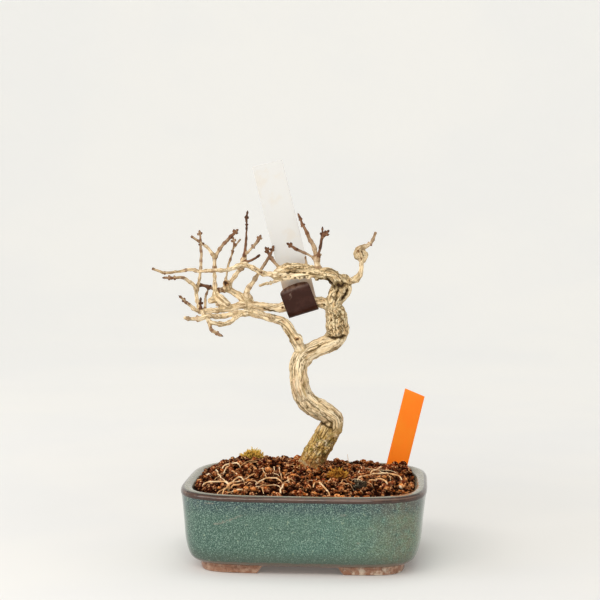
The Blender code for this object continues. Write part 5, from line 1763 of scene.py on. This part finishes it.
    def relief(self, skin: Skin, furrow: np.ndarray, fold: np.ndarray) -> np.ndarray:
        """Gives how far the bark stands out at each point: furrows, swellings and coarse grain.

        Args:
            skin: Points of the wood.
            furrow: How deep each is in a furrow.
            fold: How deep each is in a fold.

        Returns:
            Millimetres outwards for each point.
        """
        swell = noise_at(skin.places / 4.6) + 0.5 * noise_at(skin.places / 2.1, 9.0)
        grain = noise_at(skin.places / 1.3, 17.0)
        bark, vigour, upper = skin.bark, skin.vigour, skin.upper
        return (-self.furrow_depth_mm * (furrow * (0.3 + 0.7 * vigour) + 0.8 * fold)
                + swell * (0.18 * bark + 0.42 * vigour + 0.3 * upper * vigour)
                + grain * (0.1 * bark + 0.12 * vigour + 0.26 * skin.lower * vigour + 0.04 * upper))

    def scars(self, places: np.ndarray) -> np.ndarray:
        """Marks the knots and the scars of old cuts.

        Args:
            places: Points of the wood.

        Returns:
            For each point a value from nought to one, which is one in a knot's heart.
        """
        found = np.zeros(len(places))
        warp = np.maximum(0.3, 1 + 1.3 * noise_at(places / 1.1, 5.0))
        for marks, strength in ((KNOTS, 1.0), (SCARS, 0.38)):
            for x, y, z, reach in marks:
                centre = places[np.argmin(np.sum((places - (x, y, z)) ** 2, axis=1))]
                away = np.sum((places - centre) ** 2, axis=1) * warp
                found = np.maximum(found, strength * np.exp(-away / reach ** 2))
        return found

    def carve(self, wood: bpy.types.Object, bud_brown: np.ndarray) -> None:
        """Cuts the bark's furrows and keeps what its material needs at each point.

        Args:
            wood: The tree, whose last points are its buds.
            bud_brown: Brownness of the buds' points.
        """
        mesh = wood.data
        skin = self.skin(wood, bud_brown)
        seam = self.seams(mesh, skin.owner)
        fold = self.folds(skin)
        # The folds and pits join the furrows, whose dark colour paints their shade.
        furrow = np.maximum(self.furrows(skin, seam), fold)
        moved = skin.places + skin.normals * self.relief(skin, furrow, fold)[:, None]
        mesh.vertices.foreach_set("co", ((moved + POT_CENTRE) * MM).astype(np.float32).ravel())
        *knob, reach = GREY_KNOB
        grey = np.exp(-np.sum((skin.places - knob) ** 2, axis=1) / reach ** 2)
        keep(mesh, "growth", skin.growth)
        keep(mesh, "furrow", furrow)
        keep(mesh, "seam", seam * (1 - fold))
        keep(mesh, "scar", self.scars(skin.places) * skin.bark)
        keep(mesh, "brown", skin.brown)
        keep(mesh, "lowness", skin.within(MOSSY_FOOT))
        keep(mesh, "wet_foot", skin.within(WET_FOOT))
        keep(mesh, "crown", np.maximum(skin.upper, skin.aged))
        keep(mesh, "greyness", np.maximum(grey, 0.4 * skin.within(GREY_TOP)) * skin.vigour)
        mesh.update()

    def build(self, finish: bpy.types.Material) -> bpy.types.Object:
        """Grows the tree as one piece.

        Args:
            finish: Material of its bark.

        Returns:
            The piece, which stands for the tree.
        """
        draw = random.Random(self.seed)
        pile = MeshPile()
        for points in (TRUNK, *THICK_LIMBS):
            self.stems.append(self.grow_limb(points))
            pile.add(*sweep(self.stems[-1].path, self.trunk_sides))
        for twig in TWIGS:
            self.stems.append(self.grow_twig(twig, draw))
            pile.add(*sweep(self.stems[-1].path, self.twig_sides))
        round_points, round_faces = ball(3)
        for x, y, z, size in LUMPS:
            pile.add(round_points * size / 2 + np.array((x, y, z)), round_faces)
        wood = pile.made("premna_tree")
        skin = wood.modifiers.new("one_skin", "REMESH")
        skin.mode = "VOXEL"
        skin.voxel_size = self.voxel_mm * MM * 1.0
        soften = wood.modifiers.new("grown_over", "SMOOTH")
        soften.factor = 0.5
        soften.iterations = 2
        settle(wood)
        bud_pile = self.buds(draw)
        absorb(wood, bud_pile.made("buds"))
        self.carve(wood, np.concatenate(bud_pile.values))
        return seat(wood, (finish,), "bark", "tree", sharp_deg=75)


@dataclass
class SurfaceRoots:
    """Pale roots that lie on the granules, and the hair roots between them."""

    heap: SoilHeap
    thickness_mm: float = 0.95
    lift_mm: float = 1.9
    hair_lift_mm: float = 1.4
    hair_roots: int = 16
    seed: int = 4
    dip_mm: float = 2.5
    step_mm: float = 1.1
    taper: float = 0.35
    branch_share: float = 0.8
    wander_mm: tuple[float, float, float] = (0.7, 0.7, 0.5)
    # Half width and half depth of the soil that hair roots stay on
    soil_reach_mm: tuple[float, float] = (58, 46)
    stalk_mm: tuple[float, float] = (22.3, 33.0)

    def laid(self, points: Sequence[Sequence[float]], thickness: float, lift: float,
             seed: float) -> np.ndarray:
        """Lays a strand on the heap, with both ends dipping into it.

        Args:
            points: Its x and y.
            thickness: Its thickness in the middle.
            lift: Its height over the heap.
            seed: Shifts its small bends.

        Returns:
            Rows of x, y, z and thickness.
        """
        spots = [np.array(point[:2], float) for point in points]
        first, last = spots[0] - spots[1], spots[-1] - spots[-2]
        spots.insert(0, spots[0] + first / np.linalg.norm(first) * self.dip_mm)
        spots.append(spots[-1] + last / np.linalg.norm(last) * self.dip_mm)
        rows = []
        for at, (x, y) in enumerate(spots):
            rise = -self.dip_mm if at in (0, len(spots) - 1) else lift
            rows.append((x, y, float(self.heap.height(x, y)) + rise, thickness))
        path = smooth_path(rows, self.step_mm)
        share = np.linspace(-1, 1, len(path))
        path[:, 3] *= 1 - self.taper * share ** 2
        for at, row in enumerate(path):
            shake = noise.noise_vector(Vector((at / 4.0, seed, 0)))
            row[:3] += np.array(shake) * np.array(self.wander_mm)
            row[3] *= 1 + 0.25 * noise.noise(Vector((at / 2.5, seed, 9)))
        return path

    def build(self, finish: bpy.types.Material) -> None:
        """Makes a piece for each root node and one for the hair roots.

        Args:
            finish: Material of the root skin.
        """
        for number, (name, strands) in enumerate(SURFACE_ROOTS.items()):
            pile = MeshPile()
            for branch, points in enumerate(strands):
                slim = self.branch_share if branch else 1.0
                path = self.laid(points, self.thickness_mm * slim, self.lift_mm, 3.7 * number + branch)
                pile.add(*sweep(path, 9))
            seat(pile.made(name.replace("surface_root", "pale_root")), (finish,), "pale_root", name)
        draw = random.Random(self.seed)
        pile = MeshPile()
        for number, line in enumerate(FINE_ROOTS):
            path = self.laid(line, draw.uniform(0.5, 0.75), self.hair_lift_mm, 50.0 + number)
            pile.add(*sweep(path, 7))
        for number in range(self.hair_roots):
            x, y = draw.uniform(-54, 52), draw.uniform(-42, 26)
            heading = draw.uniform(0, math.tau)
            spots = [(x, y)]
            for _ in range(draw.choice((2, 3, 4))):
                heading += draw.uniform(-0.9, 0.9)
                x += math.cos(heading) * 4.5
                y += math.sin(heading) * 4.5
                spots.append((x, y))
            half_width, half_depth = self.soil_reach_mm
            if any((abs(a) / half_width) ** 4 + (abs(b) / half_depth) ** 4 > 1 for a, b in spots):
                continue
            path = self.laid(spots, draw.uniform(0.3, 0.55), self.hair_lift_mm, 80.0 + number)
            pile.add(*sweep(path, 6))
        x, y = self.stalk_mm
        foot = float(self.heap.height(x, y))
        stalk = smooth_path([(x, y, foot - 2, 0.4), (x + 0.3, y, foot + 3, 0.35),
                             (x - 0.1, y, foot + 6.5, 0.2)], 1.0)
        pile.add(*sweep(stalk, 6))
        seat(pile.made("hair_roots"), (finish,), "pale_root")


@dataclass
class MossCushion:
    """A cushion of moss shoots on a small mound."""

    node: str
    x_mm: float
    y_mm: float
    radius_mm: float
    height_mm: float
    shoot_mm: float
    shoots: int

    def build(self, heap: SoilHeap, finish: bpy.types.Material) -> bpy.types.Object:
        """Makes the cushion on the heap.

        Args:
            heap: Soil that it grows on.
            finish: Material of its shoots.

        Returns:
            The piece, which stands for its node.
        """
        draw = random.Random(self.node)
        ground = float(heap.height(self.x_mm, self.y_mm))
        base = np.array((self.x_mm, self.y_mm, ground + 0.25 * self.height_mm))
        size = np.array((self.radius_mm, self.radius_mm * 0.85, self.height_mm))
        seed = Vector((self.x_mm, 0, 0))
        points, faces = ball(3)
        lumpy = [0.8 + 0.45 * noise.noise(Vector(point) * 1.9 + seed) for point in points]
        pile = MeshPile()
        pile.add(base + points * size * np.array(lumpy)[:, None], faces, 0.05)
        for _ in range(self.shoots):
            level = draw.uniform(0.0, 1.0)
            angle = draw.uniform(0, math.tau)
            flat = math.sqrt(1 - level ** 2)
            out = np.array((flat * math.cos(angle), flat * math.sin(angle), level))
            clump = noise.noise(Vector(out) * 1.9 + seed)
            foot = base + out * size * (0.72 + 0.45 * clump)
            lean = out + np.array((draw.gauss(0, 0.5), draw.gauss(0, 0.5), 0.5))
            lean /= np.linalg.norm(lean)
            length = self.shoot_mm * draw.uniform(0.35, 1.0) * (1 + clump)
            bend = np.array((draw.gauss(0, 0.3), draw.gauss(0, 0.3), 0.1)) * length
            rows = [(*foot, 0.45), (*(foot + lean * length * 0.45), 0.7),
                    (*(foot + lean * length * 0.8 + bend * 0.6), 0.45),
                    (*(foot + lean * length + bend), 0.1)]
            shoot, sides = sweep(np.array(rows), 4)
            tone = draw.uniform(-0.3, 0.1) + 0.5 * clump
            pile.add(shoot, sides, np.repeat((0.05, 0.4 + tone, 0.85 + tone, 1.0 + tone), 4))
        name = self.node.replace("moss", "mossy")
        return seat(pile.made(name, "shade"), (finish,), "moss", self.node, sharp_deg=60)


@dataclass
class PlantLabel:
    """Plain orange strip with a pointed foot, pushed into the soil behind the tree."""

    width_mm: float = 12.5
    length_mm: float = 66.0
    point_mm: float = 12.0
    thickness_mm: float = 0.9
    top_mm: tuple[float, float, float] = (62.5, 35.0, 91.7)
    slant_mm: float = 1.0
    bow_mm: float = 0.25
    lean_deg: float = 13.5
    stations: int = 15
    across: int = 5

    def build(self, finish: bpy.types.Material) -> bpy.types.Object:
        """Makes the strip with softened edges.

        Args:
            finish: Material of the plastic.

        Returns:
            The piece, which stands for the label.
        """
        half = self.width_mm / 2
        rows = []
        for share in np.linspace(0, 1, self.stations):
            down = share * self.length_mm
            taper = min(1.0, (self.length_mm - down) / self.point_mm + 0.04)
            bow = self.bow_mm * math.sin(math.pi * share)
            for across in np.linspace(-1, 1, self.across):
                slant = -self.slant_mm * across * max(0.0, 1 - share * 4)
                rows.append((across * half * taper, bow, slant - down))
        turn = np.array(Matrix.Rotation(math.radians(self.lean_deg), 3, "Y"))
        points = np.array(rows) @ turn.T + np.array(self.top_mm)
        pile = MeshPile()
        pile.add(points, strip_faces(self.stations, self.across))
        label = pile.made("orange_label")
        thick = label.modifiers.new("sheet", "SOLIDIFY")
        thick.thickness = (self.thickness_mm - 0.15) * MM
        thick.offset = 0
        soft = label.modifiers.new("cut_edge", "BEVEL")
        soft.width = 0.18 * MM
        soft.segments = 2
        soft.limit_method = "ANGLE"
        soft.angle_limit = math.radians(50)
        settle(label)
        return seat(label, (finish,), "orange_plastic", "plant_label", sharp_deg=50)


@dataclass
class BranchTag:
    """Film strip hung over the middle limb: white outside the fold, brown on its reverse."""

    width_mm: float = 17.8
    thickness_mm: float = 0.5
    fold_centre_mm: tuple[float, float, float] = (-3.0, 2.9, 145.6)
    fold_radius_mm: float = 4.5
    back_mm: float = 85.0
    front_mm: float = 13.4
    round_mm: float = 3.6
    lean_deg: float = 14.0
    twist_deg: float = 6.5
    across: int = 9
    pale_end_mm: float = 6.0
    # Pale mark on the brown flap: x and z, and its reach along each
    pale_mark_mm: Point = (-9.2, 152.0, 1.4, 3.2)

    def route(self) -> np.ndarray:
        """Draws the strip's section, from the long end down to the flap.

        Returns:
            Rows of back, up and share of the fold.
        """
        radius = self.fold_radius_mm
        rows = [(radius + 0.5 * math.sin(up / self.back_mm * math.pi), up, 0.0)
                for up in np.linspace(self.back_mm, radius, 22)]
        for share in np.linspace(0.04, 1, 24):
            angle = -math.pi * share
            rows.append((radius * math.cos(angle), radius * math.sin(angle), share))
        flap = [(-radius, 0, 1), (-radius, self.front_mm * 0.6, 1),
                (-radius * 0.85, self.front_mm * 0.85, 1), (-radius * 0.5, self.front_mm, 1)]
        rows.extend(tuple(row) for row in smooth_path(flap, 0.5)[1:])
        return np.array(rows)

    def build(self, film: bpy.types.Material, coat: bpy.types.Material) -> bpy.types.Object:
        """Folds the strip and gives each face its own side's material.

        Args:
            film: Material of the white side.
            coat: Material of the brown side.

        Returns:
            The piece, which stands for the tag.
        """
        section = self.route()
        run = run_along(section[:, :2])
        left = run[-1] - run
        points, edge = [], []
        for (back, up, share), from_end in zip(section, left):
            turn = Matrix.Rotation(math.radians(-self.lean_deg - self.twist_deg * share), 3, "Y")
            short = 1 - min(1.0, from_end / self.round_mm)
            half = self.width_mm / 2 * max(0.08, 1 - short ** 2) ** 0.5
            for side in np.linspace(-1, 1, self.across):
                points.append(Vector(self.fold_centre_mm) + turn @ Vector((side * half, back, up)))
                edge.append(max(0.0, 1 - from_end / self.pale_end_mm))
        pile = MeshPile()
        pile.add(np.array(points), strip_faces(len(section), self.across), np.array(edge))
        tag = pile.made("folded_tag", "rim")
        for finish in (coat, film):
            tag.data.materials.append(finish)
        thick = tag.modifiers.new("film", "SOLIDIFY")
        thick.thickness = self.thickness_mm * MM
        thick.offset = 0
        thick.use_even_offset = True
        thick.material_offset = 1
        settle(tag)
        x, _, z = places_of(tag.data).T
        # Painted shade of the limb grows downwards towards it.
        keep(tag.data, "fold", ramp(z, 178, -22))
        mark_x, mark_z, wide, high = self.pale_mark_mm
        keep(tag.data, "pale_mark", np.exp(-((x - mark_x) / wide) ** 2 - ((z - mark_z) / high) ** 2))
        return seat(tag, (), "tag_film", "branch_tag", sharp_deg=50)


@dataclass(frozen=True)
class SoftBox:
    """A soft rectangular light, and where it hangs."""

    name: str
    place_m: tuple[float, float, float]
    size_m: tuple[float, float]
    watts: float
    colour: str


@dataclass
class Studio:
    """Pale floor that sweeps up all round, soft lights and the camera."""

    flat_m: float = 1.3
    sweep_m: float = 1.2
    # Metres from the pot and share of the board's glow there, against the lights' falling off
    glow_by_reach: tuple[tuple[float, float], ...] = (
        (0.0, 0.22), (0.2, 0.3), (0.33, 0.44), (0.48, 0.6), (0.68, 0.74), (0.95, 0.9), (1.3, 1.0),
    )
    camera_place_m: tuple[float, float, float] = (0.0749, -0.8524, 0.2075)
    camera_tilt: float = 0.068
    camera_turn: float = 0.082
    lens_mm: float = 89.1
    sensor_mm: float = 36.0
    boxes: tuple[SoftBox, ...] = (
        SoftBox("key_strip", (-0.3, -1.05, 0.95), (1.5, 0.4), 12.0, "#FFFAF2"),
        SoftBox("side_box", (-0.9, -0.3, 0.7), (0.5, 0.5), 2.5, "#FFFFFF"),
        SoftBox("top_box", (0.1, 0.1, 1.2), (0.7, 0.7), 3.0, "#FFFDF8"),
    )
    aim_m: tuple[float, float, float] = (0.01, 0, 0.1)
    air: str = "#F4F3F0"
    air_strength: float = 0.5

    def floor(self) -> None:
        """Makes the floor and its swept edge."""
        profile = [(share * self.flat_m, 0.0) for share in np.linspace(0, 1, 20)]
        for share in np.linspace(0.06, 1, 18):
            angle = share * math.pi / 2
            profile.append((self.flat_m + self.sweep_m * math.sin(angle),
                            self.sweep_m * (1 - math.cos(angle))))
        bm = bmesh.new()
        spin = [bm.verts.new((reach, 0, rise)) for reach, rise in profile]
        edges = [bm.edges.new(pair) for pair in zip(spin, spin[1:])]
        bmesh.ops.spin(bm, geom=spin + edges, cent=(0, 0, 0), axis=(0, 0, 1), angle=math.tau,
                       steps=96, use_merge=True)
        bmesh.ops.remove_doubles(bm, verts=bm.verts, dist=1e-5)
        bmesh.ops.recalc_face_normals(bm, faces=bm.faces)
        mesh = bpy.data.meshes.new("studio_floor")
        bm.to_mesh(mesh)
        bm.free()
        mesh.shade_smooth()
        reach = np.array([vertex.co.xy.length for vertex in mesh.vertices])
        keep(mesh, "far", np.interp(reach, *zip(*self.glow_by_reach)))
        made = bpy.data.objects.new("studio_floor", mesh)
        made.data.materials.append(STUDIO_BOARD.material())
        bpy.context.scene.collection.objects.link(made)

    def hang(self, box: SoftBox) -> None:
        """Hangs a soft box and aims it at the tree.

        Args:
            box: The light.
        """
        lamp = bpy.data.lights.new(box.name, "AREA")
        lamp.shape = "RECTANGLE"
        lamp.size, lamp.size_y = box.size_m
        lamp.energy = box.watts
        lamp.color = linear(box.colour)[:3]
        made = bpy.data.objects.new(box.name, lamp)
        made.location = box.place_m
        aim = Vector(self.aim_m) - Vector(box.place_m)
        made.rotation_euler = aim.to_track_quat("-Z", "Y").to_euler()
        bpy.context.scene.collection.objects.link(made)

    def build(self) -> None:
        """Sets up floor, lights, world and camera."""
        scene = bpy.context.scene
        scene.view_settings.view_transform = "Standard"
        self.floor()
        for box in self.boxes:
            self.hang(box)
        world = bpy.data.worlds.new("studio_air")
        world.use_nodes = True
        air = world.node_tree.nodes["Background"]
        air.inputs["Color"].default_value = linear(self.air)
        air.inputs["Strength"].default_value = self.air_strength
        scene.world = world
        lens = bpy.data.cameras.new("camera")
        lens.lens = self.lens_mm
        lens.sensor_width = self.sensor_mm
        camera = bpy.data.objects.new("camera", lens)
        camera.location = self.camera_place_m
        camera.rotation_euler = (math.pi / 2 - self.camera_tilt, 0, self.camera_turn)
        scene.collection.objects.link(camera)
        scene.camera = camera


def main() -> None:
    """Builds the pieces in order."""
    logging.basicConfig(level=logging.INFO, format="%(name)s: %(message)s")
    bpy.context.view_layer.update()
    noise.seed_set(NOISE_SEED)
    Studio().build()
    mesh_finish = BLACK_POLYETHYLENE.material()
    for name in ("drain_mesh_left", "drain_mesh_right"):
        node = frame["nodes"][name]
        node.data.materials.clear()
        node.data.materials.append(mesh_finish)
    Pot().build(ASH_GLAZE.material())
    heap = SoilHeap()
    heap.build(BAKED_CLAY.material())
    Tree().build(BARK.material())
    SurfaceRoots(heap).build(ROOT_SKIN.material())
    cushions = (
        (MossCushion("moss_tuft_back", -34.4, 24, 5.3, 3.6, 3.0, 420), WINTER_MOSS),
        (MossCushion("moss_patch_front", 18.6, -12.5, 5.2, 4.6, 2.6, 420), RUSTY_MOSS),
        (MossCushion("moss_lump_right", 32.2, -30, 4.2, 3.4, 1.0, 260), DARK_MOSS),
    )
    for cushion, finish in cushions:
        cushion.build(heap, finish.material())
    PlantLabel().build(ORANGE_STYRENE.material())
    BranchTag().build(WHITE_FILM.material(), BROWN_COAT.material())


if __name__ == "__main__":
    main()
